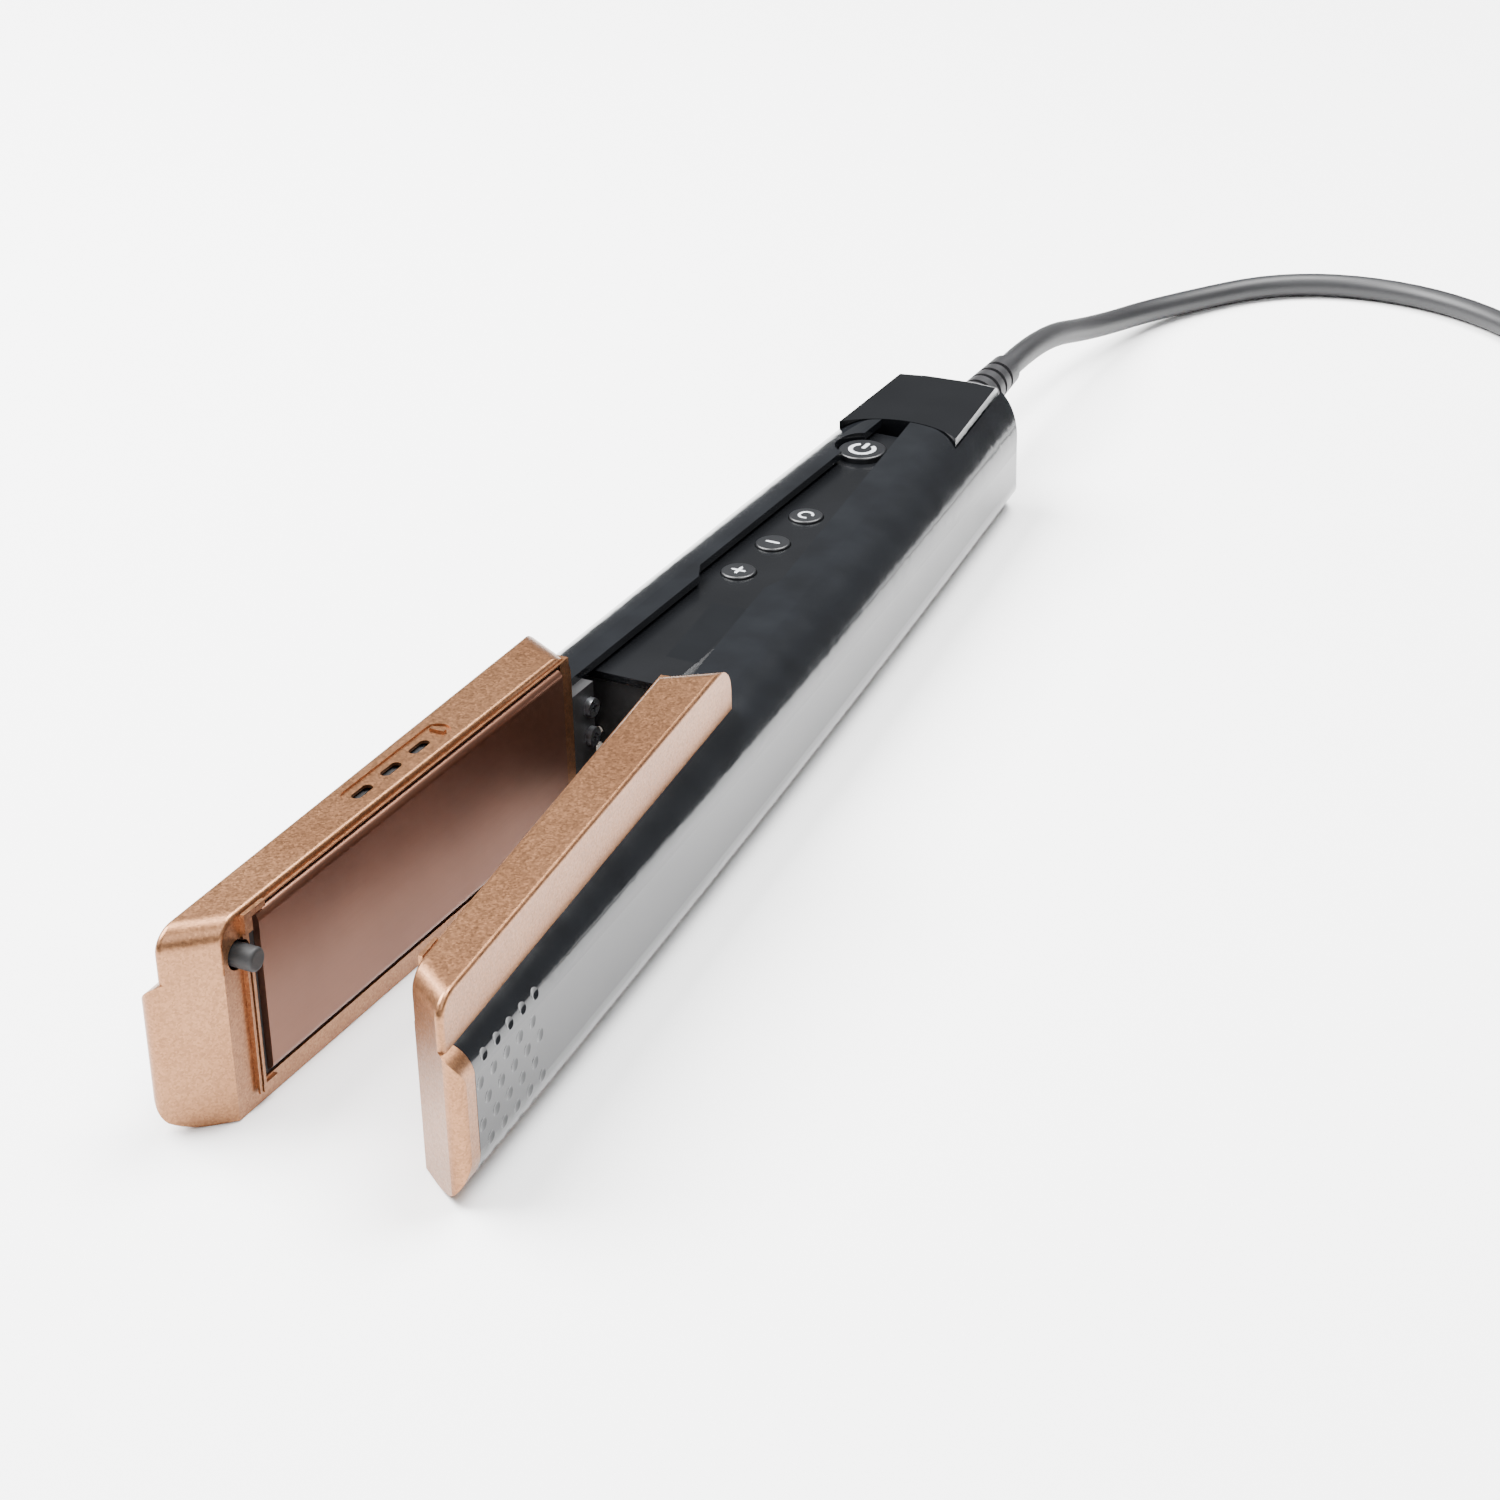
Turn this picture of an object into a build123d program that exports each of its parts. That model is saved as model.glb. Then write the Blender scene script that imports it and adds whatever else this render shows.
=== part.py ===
"""Flat iron lying on its side, jaws open: two mirror-image arms on one hinge, a control core and a cord.

Millimetres. +Z is up, the tips point to -Y, the tail and its cord to +Y. The hinge axis is the Z axis and the
underside lies on z = 0. The left arm (at -X) is the fixed one; the right arm is turned open about the hinge.
"""

import math
import os

from build123d import *

# Driving sizes of the whole iron
TIP_Y = -246.0          # flat tip face of an arm, measured from the hinge
TAIL_Y = 50.0           # rear end of the body
OPEN_ANGLE = 8.0        # angle between the arms at rest, in degrees
JAW_HEIGHT = 40.0       # width of the iron over the plates, upright here
BODY_HEIGHT = 30.0      # width of the iron over the handle
WALL = 1.7              # thickness of the plastic shells
PLATE_LENGTH = 102.0
PLATE_WIDTH = 32.5
PLATE_Z = 5.4           # lower long edge of a plate
FLOAT_TRAVEL = 0.8      # how far a plate can sink into its jaw
JAW_LENGTH = 122.5      # rose-gold part of an arm

# Outer line of an arm, as the distance from the closing plane
REACH_TIP = 14.3
REACH_TAIL = 21.7
REACH_BOW = 1.3         # how much the line bows out at mid-length
TOP_ROUND_TIP = 6.0
TOP_ROUND_TAIL = 14.0
FLOOR_ROUND = 9.0
STATIONS = 5            # cross-sections the long body is lofted through

# The rose-gold jaw housing
FACE_GAP = 1.5          # its inner face, from the closing plane
BAND_TIP = 10.4         # its outer side at the tip and at the rear
BAND_REAR = 12.5
NOSE_BAND = 8.5         # how far the slanted front reaches forward at the band's outer side
NOSE_OUT = 10.4         # and at the body's outer side
SHELL_FRONT_Y = TIP_Y - 4.0
EDGE_ROUND = 0.9
BAND_FOOT = 18.0        # hidden foot of the housing's band inside the shell
TIP_FILLET = 4.2
NOSE_ROUND = 2.4
REAR_ROUND = 6.0        # upper rear corner of the housing, seen from the side
JAW_END_Y = TIP_Y + JAW_LENGTH
CAVITY_DEPTH = 8.7
CAVITY_FRONT_Y = TIP_Y + 5.5
CAVITY_REAR_Y = JAW_END_Y - 7.6
CAVITY_FLOOR = 3.5
CAVITY_TOP = 38.85

# The plate with what is stacked behind it
PLATE_Y = TIP_Y + 9.2
PLATE_REAR_Y = PLATE_Y + PLATE_LENGTH
PLATE_FACE = 0.1        # working face, from the closing plane
PLATE_THICK = 3.2
PLATE_ROUND = 1.7       # along the long edges of its working face
HEATER_THICK = 1.8
CLIP_THICK = 0.6
GASKET_GAP = 0.15
GASKET_WALL = 0.5
GASKET_FRONT = 1.9      # wider black strip before the plate

# What the plate stack is built on
MID_Z = PLATE_Z + PLATE_WIDTH / 2
BACK = PLATE_FACE + PLATE_THICK
HEATER_Y = (PLATE_Y + 9.0, PLATE_REAR_Y - 9.0)
CARRIER_X = (BACK + HEATER_THICK + CLIP_THICK + FLOAT_TRAVEL + 0.2, CAVITY_DEPTH)
CAVITY = ((CAVITY_FRONT_Y, CAVITY_REAR_Y), (CAVITY_FLOOR, CAVITY_TOP))
FRAME_FACE = 0.9        # the bezel's face, from the closing plane, and its back
FRAME_DEPTH = 4.2

# The guide pin near the left tip and its socket in the right one
PIN_Z = 32.0
PIN_Y = TIP_Y + 4.3
GUIDE_RADIUS = 2.3
GUIDE_REACH = 2.8
SOCKET_RADIUS = 2.9
SOCKET_DEPTH = 5.0

# The block that ties each jaw to its shell, its screws and the heater leads through it
ANCHOR_X = (2.2, 15.0)
ANCHOR_REAR_Y = JAW_END_Y + 3.2
SCREW_ZS = (17.0, 23.5)
SCREW_RADIUS = 1.05
SCREW_HEAD = 2.0
LEAD_X = 5.2
LEAD_ZS = (10.0, 13.5)
LEAD_RADIUS = 0.7
LEAD_HOLE = 0.9

# The vent panel in the left housing's upper face
VENT_X = 6.4
VENT_Y = TIP_Y + 62.5
VENT_LENGTH = 33.0
VENT_WIDTH = 5.2
VENT_DEPTH = 0.5
VENT_SLOTS = 3
VENT_PITCH = 9.5
VENT_SHIFT = 2.0
VENT_SLOT_LENGTH = 5.6
VENT_SLOT_WIDTH = 2.1

# The dimpled grip near the tip of each shell
DIMPLE_ROWS = 6
DIMPLE_COLUMNS = 5
DIMPLE_PITCH = 5.0
DIMPLE_ROW_PITCH = 4.2
DIMPLE_FIRST_Y = TIP_Y - 2.5
DIMPLE_SPHERE = 2.6
DIMPLE_DEPTH = 0.32
DIMPLE_LOW_Z = 5.0

# The handle
EDGE_LEFT = 4.8         # inner edge of the left shell's top wall, and of its relief beside the buttons
EDGE_LEFT_RELIEF = 7.2
EDGE_RIGHT = 0.3
EDGE_RIGHT_RELIEF = 2.4
EDGE_FLOOR = 0.3        # inner edge of both shells' floor walls
RELIEF_Y = TIP_Y + 174.0
RELIEF_RAMP = 5.0
FLOOR_TRIM = 0.02       # cut off under a shell, so that its floor is one true plane
TURN_RADIUS = 20.6      # round rear end of the top walls, about the hinge
HOLLOW_REAR_Y = 22.0
TAIL_ROUND = 9.0
CAP_HALF = 15.5         # half the width of the tail cap
TAIL_GAP = 0.3          # between the cap and the right arm when the jaws are fully open

# The control core
CORE_FRONT_Y = -114.0
CORE_REAR_Y = -22.0
CORE_LEFT = -15.0
CORE_RIGHT = 14.5
CORE_FLOOR = 2.0
CORE_WALL = 1.5
CORE_CLEARANCE = 0.5    # to the right shell when the iron is shut
WEB_WIDTH = 3.4
PANEL_TOP = 27.4
PANEL_THICK = 1.6
PANEL_REAR_Y = 17.0
BOARD_Z = 20.2
BOARD_THICK = 1.6
DISPLAY_PLAN = [(4.7, -103.0), (11.9, -103.0), (9.6, -77.0), (1.3, -77.0)]
KEY_X = -0.7
KEY_FIRST_Y = -62.0
KEY_PITCH = 15.5
KEY_RADIUS = 3.8
KEY_NAMES = ("plus", "minus", "mode")
KEY_TOP = 28.0
POWER_X = -4.9
POWER_Y = 4.8
POWER_RADIUS = 5.5
POWER_TOP = 28.8
FLANGE = 0.7
RUNNING_GAP = 0.15
SWITCH_HEIGHT = 2.9

# The hinge stack, from the floor up
PIN_RADIUS = 2.5
PIN_CLEARANCE = 0.05
KNUCKLE_RADIUS = 7.0
BRACKET_HALF = 9.0
LOWER_KNUCKLE = (CORE_FLOOR, 4.6)
SPRING_BAND = (5.0, 8.4)
RIGHT_KNUCKLE = (8.8, 15.6)
UPPER_KNUCKLE = (15.9, 19.0)

# The cord and its fittings
CORD_Z = 18.0
CORD_RADIUS = 3.0
CORD_D = 2 * CORD_RADIUS
NECK_RADIUS = 5.0
FLANGE_RADIUS = 8.0
REAR_WALL = 3.5
SWIVEL_PLAY = 0.3
RELIEF_LENGTH = 35.0
COIL_X = 163.0
COIL_Y = 130.0
COIL_MEAN = 36.0
COIL_BESIDE = 3         # turns beside each other
COIL_LAYERS = 4         # and layers on each other
COIL_WIDTH = CORD_D * COIL_BESIDE
COIL_HEIGHT = CORD_D * COIL_LAYERS
OUTER_TURN = COIL_MEAN + (COIL_WIDTH - CORD_D) / 2
EXIT_RUN = 24.0         # straight stretch of cord beyond the strain relief
TIE_WIDTH = 10.0
TIE_THICK = 1.2
PLUG_X = 197.0
PLUG_Y = 60.0
PLUG_HEIGHT = 15.0
PLUG_LENGTH = 36.0
BLADE_LENGTH = 16.5
BLADE_PITCH = 12.7


class Arm:
    """One half of the iron: side is -1 on the left and 1 on the right, turned open about the hinge."""

    def __init__(self, name, side, open_by):
        self.name = name
        self.side = side
        self.frame = Plane.XY.rotated((0, 0, open_by))

    def level(self, height):
        """The horizontal plane of this arm at a height."""
        return self.frame.offset(height)

    def across(self, y):
        """The upright plane across this arm at a distance along it, facing the tip."""
        origin = self.frame.from_local_coords((0, y, 0))
        return Plane(origin=origin, x_dir=self.frame.x_dir, z_dir=-self.frame.y_dir)

    def facing(self, x, y, z):
        """The upright plane along this arm at a point, facing outward from the closing plane."""
        origin = self.frame.from_local_coords((self.side * x, y, z))
        outward = self.frame.x_dir * self.side
        return Plane(origin=origin, x_dir=self.frame.y_dir * self.side, z_dir=outward)

    def place(self, x, y, z):
        """A point of this arm, x being the distance outward from its closing plane."""
        return self.frame.from_local_coords((self.side * x, y, z))


LEFT = Arm("left", -1, 0.0)
RIGHT = Arm("right", 1, OPEN_ANGLE)
ARMS = (LEFT, RIGHT)


def save(piece, name):
    """Labels a finished sub-part and writes it as its own file."""
    piece.part.label = name
    export_step(piece.part, f"parts/{name}.step")


def along(y):
    """The share of the body's length passed at y, 0 at the tip and 1 at the tail."""
    return (y - TIP_Y) / (TAIL_Y - TIP_Y)


def reach(y):
    """Distance of an arm's outer side from the closing plane."""
    share = along(y)
    return REACH_TIP + (REACH_TAIL - REACH_TIP) * share + 4 * REACH_BOW * share * (1 - share)


def top_round(y):
    """Radius of an arm's upper outer edge."""
    return TOP_ROUND_TIP + (TOP_ROUND_TAIL - TOP_ROUND_TIP) * along(y)


def band(y):
    """Distance of the jaw housing's outer side from the closing plane."""
    return BAND_TIP + (BAND_REAR - BAND_TIP) * (y - TIP_Y) / JAW_LENGTH


def plan_face(arm, points, height, corners=0, radius=0.0):
    """A flat face through (outward, along) points; its frontmost corners can be rounded."""
    with BuildSketch(arm.level(height)) as face:
        with BuildLine():
            Polyline([(arm.side * x, y) for x, y in points], close=True)
        make_face()
        if corners:
            fillet(face.vertices().sort_by(Axis.Y)[:corners], radius=radius)
    return face.sketch


def plan_block(arm, points, low, high, mode=Mode.ADD):
    """An upright block over a plan outline of an arm."""
    extrude(plan_face(arm, points, low), amount=high - low, mode=mode)


def box_between(arm, x_range, y_range, z_range, mode=Mode.ADD):
    """A straight box of an arm, given by its ranges outward, along and up."""
    corners = [(x_range[i], y_range[j]) for i, j in ((0, 0), (1, 0), (1, 1), (0, 1))]
    plan_block(arm, corners, z_range[0], z_range[1], mode)


def body_section(arm, y, inner, inset):
    """The rounded cross-section of the long body, drawn in by inset on its outside, top and floor."""
    outer = reach(y) - inset
    top = BODY_HEIGHT - inset
    upper = top_round(y) - inset
    lower = FLOOR_ROUND - inset
    turn = math.sqrt(0.5)
    side = arm.side
    with BuildSketch(arm.across(y)) as section:
        with BuildLine():
            Line((side * inner, inset), (side * (outer - lower), inset))
            ThreePointArc(
                (side * (outer - lower), inset),
                (side * (outer - lower + lower * turn), inset + lower - lower * turn),
                (side * outer, inset + lower),
            )
            Line((side * outer, inset + lower), (side * outer, top - upper))
            ThreePointArc(
                (side * outer, top - upper),
                (side * (outer - upper + upper * turn), top - upper + upper * turn),
                (side * (outer - upper), top),
            )
            Line((side * (outer - upper), top), (side * inner, top))
            Line((side * inner, top), (side * inner, inset))
        make_face()
    return section.sketch


def long_body(arm, inner, inset, front_y, rear_y, mode=Mode.ADD):
    """The long rounded body of an arm between two distances, lofted through its cross-sections."""
    stations = [front_y + (rear_y - front_y) * number / (STATIONS - 1) for number in range(STATIONS)]
    loft([body_section(arm, y, inner, inset) for y in stations], mode=mode)


def rear_points():
    """The slanted rear end of a jaw housing in plan, from its outer side inward."""
    return [(BAND_REAR, JAW_END_Y), (FACE_GAP + 4.5, JAW_END_Y - 2.5), (FACE_GAP, JAW_END_Y - 6.0)]


def band_plan():
    """Plan outline of the housing's tall band."""
    return [(FACE_GAP, TIP_Y), (band(TIP_Y), TIP_Y - NOSE_BAND), *rear_points()]


def nose_plan():
    """Plan outline of the housing's full-width nose, whose rear edge the shell meets."""
    return [
        (FACE_GAP, TIP_Y),
        (band(TIP_Y), TIP_Y - NOSE_BAND),
        (REACH_TIP - 0.2, TIP_Y - NOSE_OUT),
        (REACH_TIP - 0.2, SHELL_FRONT_Y),
        (band(TIP_Y), SHELL_FRONT_Y),
        (FACE_GAP, SHELL_FRONT_Y + 6.0),
    ]


def housing_lower(arm):
    """The housing's lower half behind the nose, inside the rounded section of the long body."""
    with BuildPart() as lower:
        long_body(arm, FACE_GAP, 0.0, TIP_Y - NOSE_OUT - 1.0, JAW_END_Y)
        plan_block(arm, band_plan(), 0.0, JAW_HEIGHT, Mode.INTERSECT)
    return lower


def housing_nose(arm):
    """The housing's slanted front across the full width of the body, its outer corner rounded."""
    with BuildPart() as nose:
        long_body(arm, FACE_GAP, 0.0, TIP_Y - NOSE_OUT - 1.0, SHELL_FRONT_Y + 6.0)
        with BuildSketch(arm.level(-1.0)) as outline:
            add(plan_face(Arm("level", arm.side, 0.0), nose_plan(), 0.0))
            fillet(outline.vertices().sort_by(Axis.Y)[0], radius=NOSE_ROUND)
        extrude(outline.sketch, amount=JAW_HEIGHT, mode=Mode.INTERSECT)
    return nose


def rear_corner(arm):
    """The waste outside a quarter round at the housing's upper rear corner, along its slanted rear face."""
    middle_z = JAW_HEIGHT - REAR_ROUND
    start = arm.place(BAND_REAR + 2.0, JAW_END_Y + 1.0, middle_z)
    end = arm.place(FACE_GAP - 2.0, JAW_END_Y - 7.0, middle_z)
    run = end - start
    plane = Plane(origin=start, z_dir=run.normalized(), x_dir=Vector(0, 0, 1))
    rear_sign = 1 if plane.y_dir.Y > 0 else -1
    with BuildSketch(plane) as waste:
        with Locations((REAR_ROUND, 0.0)):
            Rectangle(2 * REAR_ROUND, 2 * REAR_ROUND)
        with Locations((0.0, -rear_sign * REAR_ROUND)):
            Circle(REAR_ROUND, mode=Mode.SUBTRACT)
        with Locations((REAR_ROUND, -rear_sign * 2 * REAR_ROUND)):
            Rectangle(3 * REAR_ROUND, 2 * REAR_ROUND, mode=Mode.SUBTRACT)
    with BuildPart() as corner:
        extrude(waste.sketch, amount=run.length)
    return corner


def build_housing(arm):
    """Rose-gold jaw housing: a tall band with soft edges, a rounded nose and the cavity for the plate."""
    with BuildPart() as housing:
        plan_block(arm, band_plan(), BAND_FOOT, JAW_HEIGHT)
        front_edge = housing.edges().group_by(Axis.Z)[-1].sort_by(Axis.Y)[0]
        fillet(front_edge, radius=TIP_FILLET)
        fillet(housing.edges().group_by(Axis.Z)[-1], radius=EDGE_ROUND)
        add(housing_lower(arm).part)
        add(housing_nose(arm).part)
        box_between(arm, (0.0, CAVITY_DEPTH), CAVITY[0], CAVITY[1], Mode.SUBTRACT)
    return housing


def ring_block(arm, outer, inner, x_range):
    """An upright rectangular ring round a plate: outer and inner are (y_range, z_range) pairs."""
    box_between(arm, x_range, outer[0], outer[1])
    box_between(arm, (x_range[0] - 1.0, x_range[1] + 1.0), inner[0], inner[1], Mode.SUBTRACT)


def grown(margin, front=0.0):
    """The plate's outline grown by a margin, with more at the tip end if asked: (y_range, z_range)."""
    along_range = (PLATE_Y - margin - front, PLATE_REAR_Y + margin)
    up_range = (PLATE_Z - margin, PLATE_Z + PLATE_WIDTH + margin)
    return along_range, up_range


def lead_holes(arm, x, y_range, mode=Mode.SUBTRACT):
    """Two straight holes along an arm for its heater leads."""
    with BuildSketch(arm.across(y_range[1])) as holes:
        with Locations(*[(arm.side * x, z) for z in LEAD_ZS]):
            Circle(LEAD_HOLE)
    extrude(holes.sketch, amount=y_range[1] - y_range[0], mode=mode)


def guide_bore(arm, radius, depth):
    """A round pocket for the guide pin, square to the closing plane."""
    with BuildSketch(arm.facing(-1.0, PIN_Y, PIN_Z)) as bore:
        Circle(radius)
    extrude(bore.sketch, amount=depth + 1.0, mode=Mode.SUBTRACT)


def build_finished_housing(arm):
    """The housing with its pin pocket, lead holes and, on the left arm only, the vent panel."""
    with BuildPart() as housing:
        add(build_housing(arm).part)
        add(rear_corner(arm).part, mode=Mode.SUBTRACT)
        guide_bore(arm, SOCKET_RADIUS, SOCKET_DEPTH)
        lead_holes(arm, LEAD_X, (CAVITY_REAR_Y - 0.5, JAW_END_Y + 0.5))
        if arm is LEFT:
            with BuildSketch(arm.level(JAW_HEIGHT)) as panel:
                with Locations((-VENT_X, VENT_Y)):
                    SlotOverall(VENT_LENGTH, VENT_WIDTH, rotation=90)
            extrude(panel.sketch, amount=-VENT_DEPTH, mode=Mode.SUBTRACT)
            with BuildSketch(arm.level(JAW_HEIGHT)) as slots:
                with Locations((-VENT_X, VENT_Y - VENT_SHIFT)):
                    with GridLocations(1.0, VENT_PITCH, 1, VENT_SLOTS):
                        SlotOverall(VENT_SLOT_LENGTH, VENT_SLOT_WIDTH, rotation=90)
            extrude(slots.sketch, amount=-(JAW_HEIGHT - CAVITY_TOP + 0.5), mode=Mode.SUBTRACT)
            rib_y = VENT_Y + VENT_LENGTH / 2 - 2.5
            box_between(
                arm, (VENT_X - 1.6, VENT_X + 1.6), (rib_y - 0.5, rib_y + 0.5), (JAW_HEIGHT - 1.0, JAW_HEIGHT + 0.25)
            )
    return housing


def side_point(y, z):
    """Distance outward of an arm's outer surface, and its slope angle above level, at a height."""
    outer = reach(y)
    upper = top_round(y)
    if z > BODY_HEIGHT - upper:
        lift = math.asin((z - BODY_HEIGHT + upper) / upper)
        return outer - upper + upper * math.cos(lift), lift
    if z < FLOOR_ROUND:
        lift = -math.asin((FLOOR_ROUND - z) / FLOOR_ROUND)
        return outer - FLOOR_ROUND + FLOOR_ROUND * math.cos(lift), lift
    return outer, 0.0


def dimple_centres(arm):
    """Centres of the spheres that press the staggered dimples into the outer surface."""
    stand_off = DIMPLE_SPHERE - DIMPLE_DEPTH
    centres = []
    for row in range(DIMPLE_ROWS):
        z = DIMPLE_LOW_Z + row * DIMPLE_ROW_PITCH
        for column in range(DIMPLE_COLUMNS):
            y = DIMPLE_FIRST_Y + (column + 0.5 * (row % 2)) * DIMPLE_PITCH
            x, lift = side_point(y, z)
            centres.append(arm.place(x + stand_off * math.cos(lift), y, z + stand_off * math.sin(lift)))
    return centres


def build_shell(arm):
    """Glossy outer shell: a skin beside the jaw, an open channel along the handle and a solid tail."""
    edge, relief = (EDGE_LEFT, EDGE_LEFT_RELIEF) if arm is LEFT else (EDGE_RIGHT, EDGE_RIGHT_RELIEF)
    top_wall_z = BODY_HEIGHT - WALL
    over = BODY_HEIGHT + 1.0
    with BuildPart() as shell:
        long_body(arm, EDGE_FLOOR, -FLOOR_TRIM, SHELL_FRONT_Y, TAIL_Y)
        box_between(arm, (-1.0, REACH_TAIL + 2.0), (TIP_Y - 20.0, TAIL_Y + 1.0), (-1.0, 0.0), Mode.SUBTRACT)
        long_body(arm, -2.0, WALL, JAW_END_Y - 7.0, HOLLOW_REAR_Y, Mode.SUBTRACT)
        jaw_room = [
            (-1.0, TIP_Y - NOSE_BAND),
            (band(TIP_Y), TIP_Y - NOSE_BAND),
            *rear_points(),
            (-1.0, JAW_END_Y - 6.0),
        ]
        plan_block(arm, jaw_room, -1.0, over, Mode.SUBTRACT)
        channel = [
            (-1.0, JAW_END_Y - 7.0),
            (edge, JAW_END_Y - 7.0),
            (edge, RELIEF_Y),
            (relief, RELIEF_Y + RELIEF_RAMP),
            (relief, TAIL_Y),
            (-1.0, TAIL_Y),
        ]
        plan_block(arm, channel, top_wall_z - 0.5, over, Mode.SUBTRACT)
        if arm is LEFT:
            with BuildSketch(arm.level(top_wall_z - 0.5)) as button_room:
                with Locations((POWER_X, POWER_Y)):
                    Circle(POWER_RADIUS + 0.8)
            extrude(button_room.sketch, amount=WALL + 1.0, mode=Mode.SUBTRACT)
        else:
            swing = math.tan(math.radians(OPEN_ANGLE))
            floor_room = [(-1.0, -2.0), (EDGE_FLOOR, -2.0), (EDGE_FLOOR + (TAIL_Y + 2.0) * swing, TAIL_Y), (-1.0, TAIL_Y)]
            plan_block(arm, floor_room, -1.0, WALL + 1.0, Mode.SUBTRACT)
        with BuildSketch(arm.level(-1.0)) as turn_room:
            with Locations((arm.side * (CAP_HALF - 10.0), TAIL_Y / 2 + 1.0)):
                Rectangle(20.0, TAIL_Y + 2.0)
            Circle(TURN_RADIUS, mode=Mode.SUBTRACT)
            with Locations((arm.side * (CAP_HALF - 10.0), -10.0)):
                Rectangle(24.0, 20.0, mode=Mode.SUBTRACT)
        extrude(turn_room.sketch, amount=over + 1.0, mode=Mode.SUBTRACT)
        outline = [(-1.0, TIP_Y - 20.0), (REACH_TAIL, TIP_Y - 20.0), (REACH_TAIL, TAIL_Y), (-1.0, TAIL_Y)]
        with BuildSketch(arm.level(-1.0)) as rounded:
            add(plan_face(Arm("level", arm.side, 0.0), outline, 0.0))
            fillet(rounded.vertices().sort_by(lambda corner: arm.side * corner.X + corner.Y)[-1], radius=TAIL_ROUND)
        extrude(rounded.sketch, amount=over + 1.0, mode=Mode.INTERSECT)
        with Locations(*dimple_centres(arm)):
            Sphere(DIMPLE_SPHERE, mode=Mode.SUBTRACT)
    return shell


def build_plate(arm):
    """Heating plate: a flat bar with rounded long edges."""
    with BuildPart() as plate:
        box_between(
            arm,
            (PLATE_FACE, PLATE_FACE + PLATE_THICK),
            (PLATE_Y, PLATE_REAR_Y),
            (PLATE_Z, PLATE_Z + PLATE_WIDTH),
        )
        long_edges = plate.edges().filter_by(lambda edge: edge.length > PLATE_LENGTH - 1.0)
        face_edges = long_edges.filter_by(
            lambda edge: abs(arm.frame.to_local_coords(edge.center()).X) < PLATE_FACE + 0.1
        )
        fillet(face_edges, radius=PLATE_ROUND)
    return plate


def build_frame(arm):
    """Rose-gold bezel ring round the plate, with a double ridge and a corner bracket at the tip."""
    with BuildPart() as frame:
        opening = grown(GASKET_GAP + GASKET_WALL, GASKET_FRONT - GASKET_WALL)
        ring_block(arm, CAVITY, opening, (FRAME_FACE, FRAME_DEPTH))
        ridge_foot = CAVITY_FLOOR - 0.9
        front = opening[0][0]
        box_between(arm, (0.35, FRAME_FACE + 0.2), (front - 0.75, front - 0.05), (ridge_foot, PIN_Z - 3.6))
        box_between(arm, (0.6, FRAME_FACE + 0.2), (front - 1.75, front - 1.05), (ridge_foot, PIN_Z - 3.6))
        box_between(arm, (0.35, FRAME_FACE + 0.2), (front - 0.9, front + 3.4), (ridge_foot, CAVITY_FLOOR + 0.6))
        box_between(arm, (0.3, FRAME_FACE + 0.2), (front - 1.6, front + 0.6), (PIN_Z + 3.4, CAVITY_TOP + 0.6))
        box_between(arm, (0.3, FRAME_FACE + 0.2), (front - 1.6, front + 4.6), (CAVITY_TOP - 0.7, CAVITY_TOP + 0.6))
        guide_bore(arm, SOCKET_RADIUS, FRAME_DEPTH + 1.0)
    return frame


def build_gasket(arm):
    """Black silicone gasket between the bezel and the plate, wider at the tip end."""
    with BuildPart() as gasket:
        outer = grown(GASKET_GAP + GASKET_WALL, GASKET_FRONT - GASKET_WALL)
        ring_block(arm, outer, grown(GASKET_GAP), (FRAME_FACE + 0.5, FRAME_DEPTH - 0.2))
        guide_bore(arm, SOCKET_RADIUS, FRAME_DEPTH + 1.0)
    return gasket


def build_heater(arm):
    """Ceramic heater strip lying on the back of the plate."""
    with BuildPart() as heater:
        box_between(arm, (BACK, BACK + HEATER_THICK), HEATER_Y, (MID_Z - 7.0, MID_Z + 7.0))
    return heater


def build_clip(arm):
    """Sheet-metal clip that presses the heater onto the plate, with two feet on the plate."""
    clip_back = BACK + HEATER_THICK
    with BuildPart() as clip:
        box_between(
            arm, (clip_back, clip_back + CLIP_THICK), (HEATER_Y[0] + 6.0, HEATER_Y[1] - 6.0), (MID_Z - 8.6, MID_Z + 8.6)
        )
        for foot in (-1, 1):
            ends = sorted((MID_Z + foot * 8.0, MID_Z + foot * 8.6))
            box_between(arm, (BACK, clip_back + CLIP_THICK), (HEATER_Y[0] + 6.0, HEATER_Y[1] - 6.0), ends)
    return clip


def build_fuse(arm):
    """Thermal fuse: a small sealed cylinder on the back of the plate."""
    fuse_radius = 1.0
    with BuildPart() as fuse:
        with BuildSketch(arm.across(HEATER_Y[1] - 12.0)) as end:
            with Locations((arm.side * (BACK + fuse_radius), MID_Z + 11.0)):
                Circle(fuse_radius)
        extrude(end.sketch, amount=11.0)
    return fuse


def build_carrier(arm):
    """Heat-proof tray fixed at the bottom of the housing's cavity."""
    with BuildPart() as carrier:
        box_between(
            arm, CARRIER_X, (CAVITY_FRONT_Y + 0.5, CAVITY_REAR_Y - 0.5), (CAVITY_FLOOR + 0.5, CAVITY_TOP - 0.5)
        )
        for y in (HEATER_Y[0] + 20.0, HEATER_Y[1] - 20.0):
            through = (CARRIER_X[0] - 1.0, CARRIER_X[1] + 1.0)
            box_between(arm, through, (y - 6.0, y + 6.0), (MID_Z - 5.0, MID_Z + 5.0), Mode.SUBTRACT)
    return carrier


def build_cushions(arm):
    """Two silicone cushions on the carrier that carry the plate at the end of its float."""
    with BuildPart() as cushions:
        for y in (PLATE_Y + 4.5, PLATE_REAR_Y - 4.5):
            box_between(arm, (BACK + FLOAT_TRAVEL + 0.05, CARRIER_X[0]), (y - 2.5, y + 2.5), (MID_Z - 4.0, MID_Z + 4.0))
    return cushions


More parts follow.
